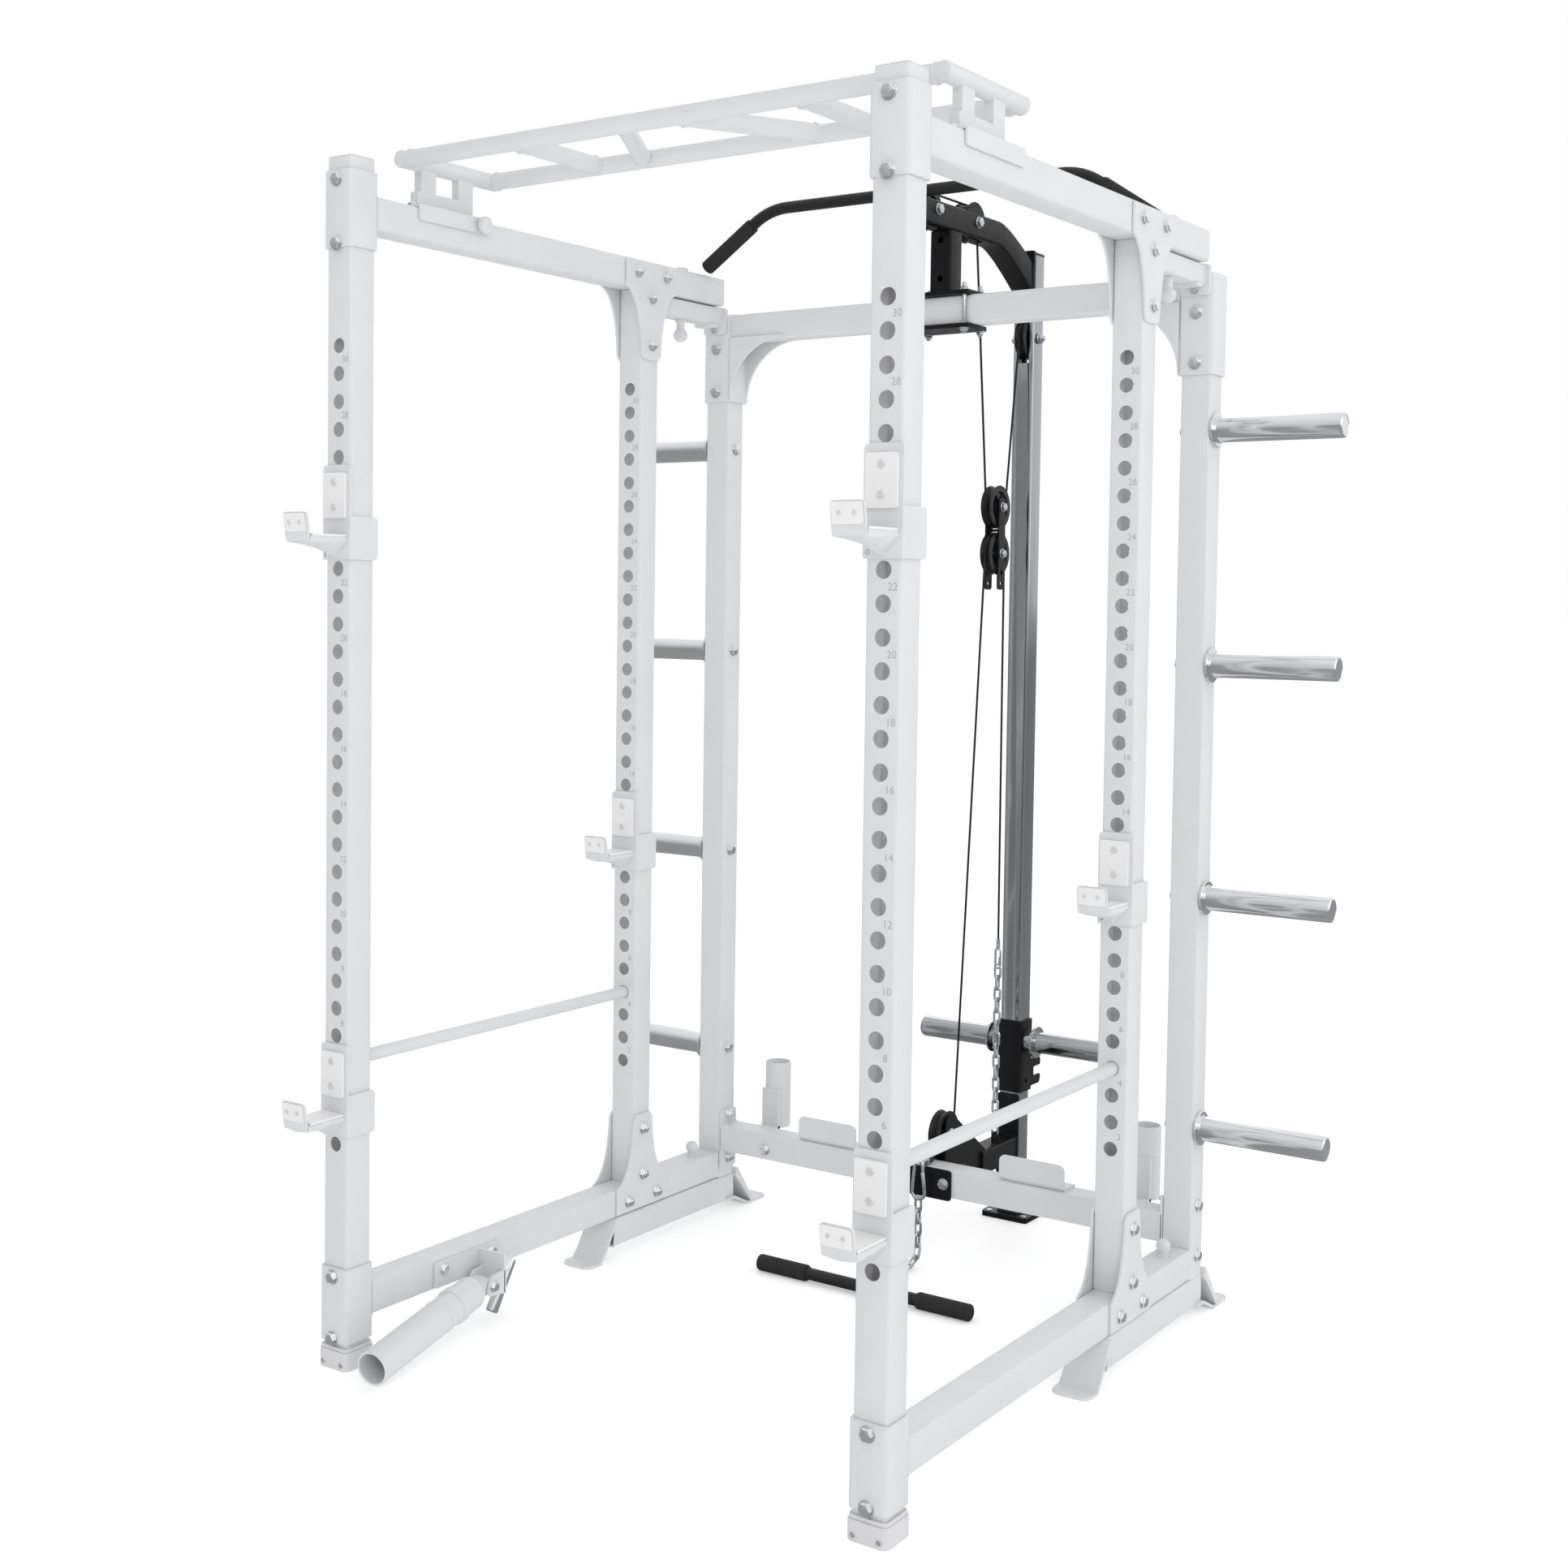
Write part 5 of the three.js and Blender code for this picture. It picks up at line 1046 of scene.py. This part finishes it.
def lat_arm():
    front, bend, end = REAR_Y - 115, REAR_Y + 220, COLUMN_Y - HB - GAP
    z = ARM_Z
    line = [(front, z), (REAR_Y, z), (bend, z)]
    for i in range(1, 13):
        t = i / 12
        line.append(((1 - t) ** 2 * bend + 2 * t * (1 - t) * (bend + 45) + t * t * end,
                     (1 - t) ** 2 * z + 2 * t * (1 - t) * z + t * t * (z - 70)))
    rings = []
    for inset, order in ((0, line), (WALL, line[::-1])):
        for y, height in order:
            deeper = max(0, (y - bend) / (end - bend)) * 17
            tall = 52 + deeper - 2 * inset
            ring = rounded_rect(BLACK - 2 * inset, tall, CORNER - inset * 0.7)
            rings.append([Vector((u, y, height - deeper / 2 + v)) for u, v in ring])
    bm = bmesh.new()
    loft(bm, rings, loop=True)
    knife = bmesh.new()
    for y, _ in (FRONT_PULLEY, REAR_PULLEY):
        box(knife, around(0, 14), around(y, SMALL + 6), around(z, 60))
    bm = carve(bm, knife)
    knife = bmesh.new()
    box(knife, around(0, 14), (front - 5, FRONT_PULLEY[0]), around(z, 60))
    bm = carve(bm, knife)
    for side in (-1, 1):
        x = side * 17
        hump = [(REAR_PULLEY[0] + 44 * math.cos(a), REAR_PULLEY[1] + 44 * math.sin(a))
                for a in (math.radians(180 * i / 24) for i in range(25))]
        hump = [(y, max(h, z + 20)) for y, h in hump]
        prism(bm, "x", hump, x - 1.5, x + 1.5)
    low, high = z - 70 - 55, COLUMN_TOP + 6
    prism(bm, "y", fillet([(-28, low), (28, low), (28, high), (-28, high)], 5), end - 8, end)
    bead(bm, [Vector((u, end - 9, z - 78.5 + v)) for u, v in rounded_rect(BLACK, 69, CORNER)], 2.2)
    piece("lat_arm_tube", bm, STEEL_BLACK, stands_for=("lat_arm",), bevel=0.7)
    bm = bmesh.new()
    for y, height in (FRONT_PULLEY, REAR_PULLEY):
        rod(bm, (-HB - 2, y, height), (HB + 2, y, height), 6, 20)
        bolt(bm, (HB, y, height), (1, 0, 0))
        bolt(bm, (-HB, y, height), (-1, 0, 0), nut=True)
    piece("lat_arm_bolts", bm, ZINC, bevel=0.3)


lat_arm()


def arm_post():
    y, under = REAR_Y + 25, ARM_Z - 26 - GAP
    low, high = REAR_TOP - TUBE - GAP - 9, REAR_TOP + GAP + 9
    bm, bolts = bmesh.new(), bmesh.new()
    for base in (low, high - 9):
        prism(bm, "z", fillet([(-75, REAR_C - 45), (75, REAR_C - 45), (75, REAR_C + 45),
                               (-75, REAR_C + 45)], 7), base, base + 9)
    post = bmesh.new()
    square_tube(post, "z", (0, y), high - 1, under, (BLACK, BLACK))
    knife = bmesh.new()
    for drop in (14 + 5, 100):
        rod(knife, (0, y - 40, under - drop), (0, y, under - drop), 6.5, 20)
    post = carve(post, knife)
    piece("arm_post_tube", post, STEEL_BLACK, stands_for=("arm_post",), bevel=0.7)
    weld_square(bm, "z", (0, y), high + 1, (BLACK, BLACK))
    piece("arm_post_plates", bm, STEEL_BLACK, bevel=0.8)
    for x in (-62, 62):
        for depth in (-35.5, 35.5):
            place = (x, REAR_C + depth, low - 12)
            rod(bolts, place, (x, REAR_C + depth, high + 16), 4.6, 16, cap=1)
            bolt(bolts, (x, REAR_C + depth, high), (0, 0, 1), across=15, washer=10.5)
            bolt(bolts, (x, REAR_C + depth, low), (0, 0, -1), across=15, washer=10.5, nut=True)
    piece("arm_post_bolts", bolts, ZINC, bevel=0.3)


arm_post()


def guide_column():
    y = COLUMN_Y
    tube, knife = bmesh.new(), bmesh.new()
    square_tube(tube, "z", (0, y), 12, COLUMN_TOP - 2, (BLACK, BLACK), WALL, 4)
    box(knife, around(0, 14), around(y, HB + 6), around(COLUMN_PULLEY[1], LARGE + 8))
    piece("column_tube", carve(tube, knife), CHROME, stands_for=("guide_column",), bevel=0.6)
    bm = bmesh.new()
    prism(bm, "z", fillet([(-57, y - 43), (57, y - 43), (57, y + 43), (-57, y + 43)], 8), 0, 12)
    bead(bm, [Vector((u, y + v, 13)) for u, v in rounded_rect(BLACK, BLACK, 4)], 3)
    piece("column_foot", bm, STEEL_BLACK, bevel=0.9)
    bm = bmesh.new()
    tube_cap(bm, "z", (0, y), COLUMN_TOP - 2, 1, (BLACK + 2, BLACK + 2), proud=7)
    piece("column_cap", bm, NYLON, bevel=0)
    bm = bmesh.new()
    for x in (-43, 43):
        for depth in (-28, 28):
            screw(bm, (x, y + depth, 12), (0, 0, 1), 7)
    rod(bm, (-HB - 3, *COLUMN_PULLEY), (HB + 3, *COLUMN_PULLEY), 6, 20)
    for side in (-1, 1):
        bolt(bm, (side * (HB + 2), *COLUMN_PULLEY), (side, 0, 0), nut=True)
        lathe(bm, aim((side * HB, *COLUMN_PULLEY), (side, 0, 0)), [(9, 0), (9, 3)], 24)
    piece("column_bolts", bm, ZINC, bevel=0.3)


guide_column()


def pulley(node, place, radius):
    """Grooved wheel with a recessed web, ribs and a bright bush, turning about X."""
    matrix = aim((0, *place), (1, 0, 0))
    floor = radius - 8
    profile = [(9.5, -12), (15, -12), (16, -7), (floor - 7, -7), (floor - 5, -12), (radius - 0.8, -12),
               (radius, -11.2),
               (radius, -9.6)]
    for i in range(9):
        angle = math.radians(180 * i / 8)
        profile.append((floor + 3 - 3 * math.sin(angle), -3.2 * math.cos(angle)))
    profile += [(radius, 9.6), (radius, 11.2), (radius - 0.8, 12), (floor - 5, 12), (floor - 7, 7),
                (16, 7), (15, 12),
                (9.5, 12)]
    bm = bmesh.new()
    lathe(bm, matrix, profile, 48, loop=True)
    for k in range(6):
        turn = Matrix.Rotation(math.radians(60 * k), 4, "Z")
        for face in (-1, 1):
            corners = [(14, -1.5), (floor - 5, -1.5), (floor - 5, 1.5), (14, 1.5)]
            loft(bm, [[matrix @ turn @ Vector((u, v, face * w)) for u, v in corners] for w in (6.5, 10.5)])
    piece(f"{node}_wheel", bm, NYLON, body=node, stands_for=(node,), bevel=0)
    bm = bmesh.new()
    lathe(bm, matrix, [(6.4, -12.6), (10, -12.6), (10, 12.6), (6.4, 12.6)], 28, loop=True)
    piece(f"{node}_bush", bm, ZINC, body=node, bevel=0)


for pulley_node, pulley_place, pulley_radius in (
        ("arm_front_pulley", FRONT_PULLEY, SMALL), ("arm_rear_pulley", REAR_PULLEY, SMALL),
        ("column_pulley", COLUMN_PULLEY, LARGE), ("block_upper_pulley", BLOCK_UPPER, LARGE),
        ("block_lower_pulley", BLOCK_LOWER, LARGE), ("low_pulley", LOW_PULLEY, LARGE)):
    pulley(pulley_node, pulley_place, pulley_radius)


def pulley_block():
    y, face = BLOCK_Y, 13.5
    low, high = span("pulley_block", 2)
    bm, bolts, knife = bmesh.new(), bmesh.new(), bmesh.new()
    for side in (-1, 1):
        plate = fillet([(y - 15, low), (y + 15, low), (y + 15, high), (y - 15, high)], 9)
        prism(bm, "x", plate, *ordered(side * face, side * (face + 4)))
    for i in range(2):
        rod(knife, (-30, y, low + 14 + 24 * i), (30, y, low + 14 + 24 * i), 5, 20)
    bm = carve(bm, knife)
    rod(bm, (-face - 0.5, y, (BLOCK_UPPER[1] + BLOCK_LOWER[1]) / 2),
        (face + 0.5, y, (BLOCK_UPPER[1] + BLOCK_LOWER[1]) / 2),
        3, 16)
    piece("block_plates", bm, STEEL_BLACK, body="pulley_block", stands_for=("pulley_block",),
          bevel=0.6)
    for _, z in (BLOCK_UPPER, BLOCK_LOWER):
        rod(bolts, (-face - 2, y, z), (face + 2, y, z), 6, 20)
        bolt(bolts, (face + 4, y, z), (1, 0, 0), across=17, washer=11)
        bolt(bolts, (-face - 4, y, z), (-1, 0, 0), across=17, washer=11, nut=True)
    piece("block_bolts", bolts, ZINC, body="pulley_block", bevel=0.3)


pulley_block()


def low_arm():
    z, height, face = 168, 54, 13.5
    front, rear = REAR_Y + 225, COLUMN_Y - HB - GAP
    behind, ahead, floor = REAR_BACK + GAP, REAR_Y - GAP, 147
    y, pz = LOW_PULLEY
    bm, bolts = bmesh.new(), bmesh.new()
    square_tube(bm, "y", (0, z), front - 1, rear - 5, (BLACK, height))
    cheek = fillet([(behind, floor), (front + 20, floor), (front + 20, z + height / 2), (y + 30, pz + 26),
                    (y + 14, pz + 38),
                    (y - 14, pz + 38), (behind, pz + 22)], [0, 4, 6, 10, 12, 12, 4])
    for side in (-1, 1):
        prism(bm, "x", cheek, *ordered(side * face, side * (face + 5)))
    box(bm, around(0, face + 1), (behind + 1, front + 20), (floor, floor + 6))
    prism(bm, "y", rounded_rect_at(0, z, BLACK, height, CORNER), front - 4, front + 1)
    prism(bm, "y", fillet([(-27, 60), (27, 60), (27, 290), (-27, 290)], 5), rear - 6, rear)
    for low in (behind, ahead - 6):
        prism(bm, "y", fillet([(-66, 145), (66, 145), (66, 210), (-66, 210)], 7), low, low + 6)
    bead(bm, [Vector((u, rear - 7, z + v)) for u, v in rounded_rect(BLACK, height, CORNER)], 2.2)
    prism(bm, "x", fillet([(CHAIN_Y - 12, z + 26), (CHAIN_Y + 12, z + 26), (CHAIN_Y + 12, 216),
                           (CHAIN_Y - 12, 216)],
                          [0, 0, 9, 9]), -3, 3)
    piece("low_arm_frame", bm, STEEL_BLACK, stands_for=("low_arm",), bevel=0.8)
    rod(bolts, (-face - 1, y, pz), (face + 1, y, pz), 6, 20)
    bolt(bolts, (face + 5, y, pz), (1, 0, 0))
    bolt(bolts, (-face - 5, y, pz), (-1, 0, 0), nut=True)
    for x in (-49, 49):
        bolt(bolts, (x, ahead - 6, 180), (0, -1, 0))
        bolt(bolts, (x, behind + 6, 180), (0, 1, 0), nut=True)
    piece("low_arm_bolts", bolts, ZINC, bevel=0.3)


def rounded_rect_at(x, y, width, height, radius):
    return [(x + u, y + v) for u, v in rounded_rect(width, height, radius)]


CHAIN_Y = REAR_Y + 322
low_arm()


def carriage():
    bottom, top, y = 295, 460, COLUMN_Y
    outer = HB + 5
    horn_z = bottom + 117
    bm = bmesh.new()
    square_tube(bm, "z", (0, y), bottom, top, (2 * outer, 2 * outer), 4, 6)
    knife = bmesh.new()
    for z in (bottom + 24, top - 24):
        rod(knife, (-60, y, z), (60, y, z), 5, 20)
    bm = carve(bm, knife)
    back_y = y + outer
    low, high = bottom + 8, bottom + 71
    third, rear = (high - low) / 3, back_y + 42
    teeth = [(back_y - 7, low), (rear - 6, low), (rear, low + 8), (rear, low + third),
             (back_y + 8, low + third),
             (back_y + 8, high - third), (rear, high - third), (rear, high - 6), (rear - 8,
                                                                                  high), (back_y - 7, high)]
    for side in (-1, 1):
        prism(bm, "x", fillet(teeth, [0, 3, 3, 3, 4, 4, 3, 3, 3, 0]),
              *ordered(side * (outer - 5.5), side * (outer + 0.3)))
    run = y + LARGE - SEAT
    prism(bm, "x", fillet([(back_y - 1, top - 34), (run + 11, top - 34), (run + 11, top - 2),
                           (back_y - 1, top - 2)],
                          [0, 8, 8, 0]), -4, 4)
    for side in (-1, 1):
        weld_round(bm, (side * (outer + 1), y, horn_z), (side, 0, 0), 25, 2.6)
    piece("carriage_sleeve", bm, STEEL_BLACK, body="carriage",
          stands_for=("weight_carriage",), bevel=0.8)
    bm = bmesh.new()
    for side in (-1, 1):
        lathe(bm, aim((side * (outer - 1), y, horn_z), (side, 0, 0)),
              [(24, 0), (24, 202), (23.2, 206), (21, 208.8), (19.6, 209), (19.2, 207.6)], 48)
        lathe(bm, aim((side * 52, y, horn_z), (side, 0, 0)),
              [(24, 0), (34, 0), (36, 1), (36, 5), (35, 6), (24, 6)],
              48, loop=True)
    piece("carriage_horns", bm, HORN_CHROME, body="carriage", bevel=0)


carriage()


def cable(name, stops, body="cage", ends=None, node="lat_cable"):
    bm = bmesh.new()
    sweep(bm, [(0, y, z) for y, z in stops], 2.5, 10)
    piece(name, bm, CABLE, body=body, stands_for=(node,), bevel=0, ends=ends)


def arc(centre, radius, start, end, steps=24):
    """Points round a pulley from one angle to another, in degrees, anticlockwise when end is larger."""
    return [(centre[0] + radius * math.cos(math.radians(start + (end - start) * i / steps)),
             centre[1] + radius * math.sin(math.radians(start + (end - start) * i / steps))) for i in range(steps + 1)]


def tangent(a, ra, ta, b, rb, tb):
    """Where a cable leaves pulley a and meets pulley b, as angles; a turn is 1 anticlockwise."""
    dy, dz = b[0] - a[0], b[1] - a[1]
    offset = tb * rb - ta * ra
    heading = math.atan2(dz, dy) - math.atan2(offset, math.sqrt(dy * dy + dz * dz - offset * offset))
    angle = math.degrees(heading + math.pi / 2)
    return [angle + (180 if turn > 0 else 0) for turn in (ta, tb)]


def wrap(centre, radius, turn, start, end):
    swing = (turn * (end - start)) % 360
    return arc(centre, radius, start, start + turn * swing)


def between(a, b, count=24):
    return [(a[0] + (b[0] - a[0]) * i / count, a[1] + (b[1] - a[1]) * i / count) for i in range(count + 1)]


def cables():
    large, small = LARGE - SEAT, SMALL - SEAT
    hook_y, hook_top = FRONT_PULLEY[0] - small, FRONT_PULLEY[1] - 82
    over = tangent(FRONT_PULLEY, small, -1, REAR_PULLEY, small, -1)
    down = tangent(REAR_PULLEY, small, -1, BLOCK_UPPER, large, 1)
    up = tangent(BLOCK_UPPER, large, 1, COLUMN_PULLEY, large, -1)
    front = wrap(FRONT_PULLEY, small, -1, 180, over[0])
    rear = wrap(REAR_PULLEY, small, -1, over[1], down[0])
    cable("lat_cable_arm", front + rear)
    drop = [(hook_y, hook_top), front[0]]
    cable("lat_cable_front", between(*drop), ends=("lat_snap_hook", "cage", at(0, *drop[0]), at(0, *drop[1])))
    loop = wrap(BLOCK_UPPER, large, 1, down[1], up[0])
    cable("lat_cable_block", loop, body="pulley_block")
    cable("lat_cable_down", between(rear[-1], loop[0]),
          ends=("cage", "pulley_block", at(0, *rear[-1]), at(0, *loop[0])))
    top = wrap(COLUMN_PULLEY, large, -1, up[1], 0)
    cable("lat_cable_up", between(loop[-1], top[0]),
          ends=("pulley_block", "cage", at(0, *loop[-1]), at(0, *top[0])))
    cable("lat_cable_column", top)
    tail = (COLUMN_Y + large, 450)
    cable("lat_cable_rear", between(top[-1], tail, 40),
          ends=("cage", "carriage", at(0, *top[-1]), at(0, *tail)))
    rise = tangent(LOW_PULLEY, large, 1, BLOCK_LOWER, large, -1)
    start = (REAR_Y + 27, LOW_PULLEY[1] - large)
    low = wrap(LOW_PULLEY, large, 1, 270, rise[0])
    cable("row_cable_front", between(start, low[0]), node="row_cable",
          ends=("row_handle", "cage", at(0, *start), at(0, *low[0])))
    cable("row_cable_low", low, node="row_cable")
    end = (CHAIN_Y, 651)
    fall = tangent(BLOCK_LOWER, large, -1, end, 0, 1)
    ring = wrap(BLOCK_LOWER, large, -1, rise[1], fall[0])
    cable("row_cable_rise", between(low[-1], ring[0], 40), node="row_cable",
          ends=("cage", "pulley_block", at(0, *low[-1]), at(0, *ring[0])))
    cable("row_cable_block", ring, body="pulley_block", node="row_cable")
    cable("row_cable_fall", between(ring[-1], end, 30), node="row_cable",
          ends=("pulley_block", "cage", at(0, *ring[-1]), at(0, *end)))
    return hook_y, hook_top, start


hook_y, hook_top, row_start = cables()


def carabiner(bm, place, across, height, width, wire):
    """Pear-shaped snap hook with its gate, hanging from a place and wide along one axis."""
    across = Vector(across)
    top = place[2]
    points = []
    upper, lower = width * 0.24, width * 0.5 - wire
    for i in range(13):
        a = math.radians(180 * i / 12)
        points.append((upper * math.cos(a), top - upper - wire + upper * math.sin(a)))
    for i in range(13):
        a = math.radians(180 + 180 * i / 12)
        points.append((lower * math.cos(a), top - height + lower + wire + lower * math.sin(a)))

    def put(u, v):
        return Vector((place[0], place[1], v)) + across * u

    sweep(bm, [put(u, v) for u, v in points], wire, 12, closed=True)
    gate_top, gate_low = top - height * 0.3, top - height * 0.72
    rod(bm, put(upper + 0.6, gate_top), put(lower - 0.6, gate_low), wire * 1.18, 16, cap=1)


def hardware():
    bm = bmesh.new()
    lathe(bm, aim((0, hook_y, hook_top - 14 - 13.5), (0, 0, 1)),
          [(4, 0), (9, 1.5), (12.4, 6), (13.5, 12), (12.9, 18), (10, 23), (5, 26), (4, 28)], 32)
    piece("lat_stop_ball", bm, NYLON, body="lat_snap_hook", stands_for=("lat_snap_hook",),
          bevel=0)
    bm = bmesh.new()
    lathe(bm, aim((0, hook_y, hook_top - 20), (0, 0, 1)), [(3.4, 0), (4.4, 1), (4.4, 24), (3.2, 25)], 20)
    carabiner(bm, (0, hook_y, hook_top - 24), (0, 1, 0), 64, 25, 3)
    piece("lat_hook", bm, ZINC, body="lat_snap_hook", bevel=0)

    bm = bmesh.new()
    y, z = REAR_Y - 25, row_start[1]
    lathe(bm, aim((0, REAR_Y + 5, z), (0, 1, 0)), [(5, 0), (9, 2), (9, 20), (5, 22)], 28)
    piece("row_stopper", bm, NYLON, body="row_handle", stands_for=("row_chain",), bevel=0)
    bm = bmesh.new()
    lathe(bm, aim((0, REAR_Y + 4, z), (0, -1, 0)),
          [(3, 0), (10, 0), (10, 2.4), (4.6, 2.4), (4.6, 20), (3, 21)], 24)
    carabiner(bm, (0, y, z + 10), (1, 0, 0), 90, 38, 4)
    chain(bm, rounded_path([(0, y, z - 75), (0, y, 9.6), (0, REAR_Y - 254 + 20, 9.6)], 34), 26, 13.4, 2.8)
    piece("row_links", bm, ZINC, body="row_handle", bevel=0)

    bm = bmesh.new()
    chain(bm, [(0, CHAIN_Y, 209), (0, CHAIN_Y, 596)], 26, 13.4, 2.8)
    sweep(bm, link_loop((0, CHAIN_Y, 613), (0, 0, 1), (1, 0, 0), 46, 12.5), 2.6, 10, closed=True)
    lathe(bm, aim((0, CHAIN_Y, 632), (0, 0, 1)), [(3, 0), (4.6, 1), (4.6, 24), (3, 25)], 20)
    rod(bm, (5, CHAIN_Y, 600), (5, CHAIN_Y, 616), 4, 6)
    piece("anchor_links", bm, ZINC, stands_for=("anchor_chain",), bevel=0)

    bm = bmesh.new()
    y, z = COLUMN_Y + LARGE - SEAT, 450
    lathe(bm, aim((0, y, z - 4), (0, 0, 1)), [(3, 0), (4.4, 1), (4.4, 24), (3, 25)], 20)
    piece("carriage_ferrule", bm, ZINC, body="carriage", bevel=0)


hardware()


def bars():
    y = middle("lat_bar", 1)
    top = span("lat_bar", 2)[1] - 12.5
    knee, tip, drop = 367, 532, 112
    bm = bmesh.new()
    sweep(bm, rounded_path([(-tip, y, top - drop), (-knee, y, top), (0, y, top), (knee, y, top),
                            (tip, y, top - drop)],
                           46, 8), 12.5, 24)
    sweep(bm, [(14 * math.cos(a), y - 20 + 14 * math.sin(a),
                top) for a in (2 * math.pi * s / 28 for s in range(28))],
          4, 10, closed=True)
    lathe(bm, aim((-11, y, top), (1, 0, 0)), [(12.6, 0), (15, 1), (15, 21), (12.6, 22)], 32, loop=True)
    piece("lat_bar_tube", bm, BAR_BLACK, body="lat_bar", stands_for=("lat_bar",), bevel=0)
    bm = bmesh.new()
    for side in (-1, 1):
        end = Vector((side * tip, y, top - drop))
        inward = (Vector((side * knee, y, top)) - end).normalized()
        lathe(bm, aim(end - inward * 2, inward),
              [(5, 0.6), (5.4, 0), (12, 0), (15, 2), (16, 5), (16, 146), (15, 149), (12.7, 150)],
              36)
    piece("lat_bar_grips", bm, RUBBER, body="lat_bar", bevel=0)
    y, z = middle("row_bar", 1), middle("row_bar", 2)
    bm = bmesh.new()
    rod(bm, (-246, y, z), (246, y, z), 12.5, 32)
    sweep(bm, [(12 * math.cos(a), y + 18 + 12 * math.sin(a),
                z) for a in (2 * math.pi * s / 28 for s in range(28))],
          3.6, 10, closed=True)
    piece("row_bar_tube", bm, BAR_BLACK, body="row_handle", stands_for=("row_bar",), bevel=0)
    bm = bmesh.new()
    for side in (-1, 1):
        lathe(bm, aim((side * 252, y, z), (-side, 0, 0)),
              [(5, 0.6), (5.4, 0), (13, 0), (16, 2), (17, 5), (17, 117), (16, 120), (12.7, 122)], 36)
    piece("row_bar_grips", bm, RUBBER, body="row_handle", bevel=0)


bars()

# ---- stage ------------------------------------------------------------------------------------------------

bpy.ops.mesh.primitive_plane_add(size=400, location=(0, 0, 0))
floor = bpy.context.object
floor.name = "floor"
FLOOR = surface("studio_floor", (0.88, 0.88, 0.88), (0.90, 0.90, 0.90), (0.85, 0.95), patch=0.4, grain=40,
                bump=0.01,
                specular=0.1)
FLOOR.node_tree.nodes["Principled BSDF"].inputs["Emission Color"].default_value = (1, 1, 1, 1)
FLOOR.node_tree.nodes["Principled BSDF"].inputs["Emission Strength"].default_value = 0.3


def dim_in_mirrors(material, grey):
    """Chrome mirrors a greyer floor than the one that is seen and that lights the object from below."""
    tree = material.node_tree
    path = tree.nodes.new("ShaderNodeLightPath")
    dim = tree.nodes.new("ShaderNodeBsdfDiffuse")
    dim.inputs["Color"].default_value = (grey, grey, grey, 1)
    mix = tree.nodes.new("ShaderNodeMixShader")
    tree.links.new(path.outputs["Is Glossy Ray"], mix.inputs["Fac"])
    tree.links.new(tree.nodes["Principled BSDF"].outputs["BSDF"], mix.inputs[1])
    tree.links.new(dim.outputs["BSDF"], mix.inputs[2])
    tree.links.new(mix.outputs["Shader"], tree.nodes["Material Output"].inputs["Surface"])


dim_in_mirrors(FLOOR, 0.35)
floor.data.materials.append(FLOOR)


def area_light(name, place, target, size, power):
    data = bpy.data.lights.new(name, "AREA")
    data.size = size
    data.energy = power
    light = bpy.data.objects.new(name, data)
    light.location = place
    light.rotation_euler = (Vector(target) - Vector(place)).to_track_quat("-Z", "Y").to_euler()
    bpy.context.scene.collection.objects.link(light)


area_light("key", (3.5, -4.5, 4.0), (0, 0, 1.0), 2.5, 36)
area_light("side", (5.0, 2.5, 2.6), (0, 0.6, 1.1), 2.5, 26)
area_light("rear", (-2.5, 5.0, 3.5), (0, 0, 1.2), 3.0, 24)


def studio_world():
    """White to look at; what things mirror is softly graded, with a dark zone low in front on the left."""
    world = bpy.data.worlds.new("studio")
    bpy.context.scene.world = world
    world.use_nodes = True
    tree = world.node_tree
    shown = tree.nodes["Background"]
    shown.inputs["Color"].default_value = (1, 1, 1, 1)
    lit = tree.nodes.new("ShaderNodeBackground")
    coords = tree.nodes.new("ShaderNodeTexCoord")
    dot = tree.nodes.new("ShaderNodeVectorMath")
    dot.operation = "DOT_PRODUCT"
    dot.inputs[1].default_value = Vector((-0.66, -0.74, -0.1)).normalized()
    tree.links.new(coords.outputs["Generated"], dot.inputs[0])
    ramp = tree.nodes.new("ShaderNodeValToRGB")
    stops = ramp.color_ramp.elements
    stops[0].position, stops[0].color = 0.0, (0.93, 0.93, 0.94, 1)
    stops[1].position, stops[1].color = 1.0, (0.32, 0.32, 0.33, 1)
    for position, grey in ((0.50, 0.86), (0.80, 0.66), (0.94, 0.40)):
        stop = stops.new(position)
        stop.color = (grey, grey, grey * 1.01, 1)
    tree.links.new(dot.outputs["Value"], ramp.inputs["Fac"])
    tree.links.new(ramp.outputs["Color"], lit.inputs["Color"])
    path = tree.nodes.new("ShaderNodeLightPath")
    mix = tree.nodes.new("ShaderNodeMixShader")
    tree.links.new(path.outputs["Is Camera Ray"], mix.inputs["Fac"])
    tree.links.new(lit.outputs["Background"], mix.inputs[1])
    tree.links.new(shown.outputs["Background"], mix.inputs[2])
    tree.links.new(mix.outputs["Shader"], tree.nodes["World Output"].inputs["Surface"])


studio_world()
bpy.context.scene.view_settings.view_transform = "Standard"
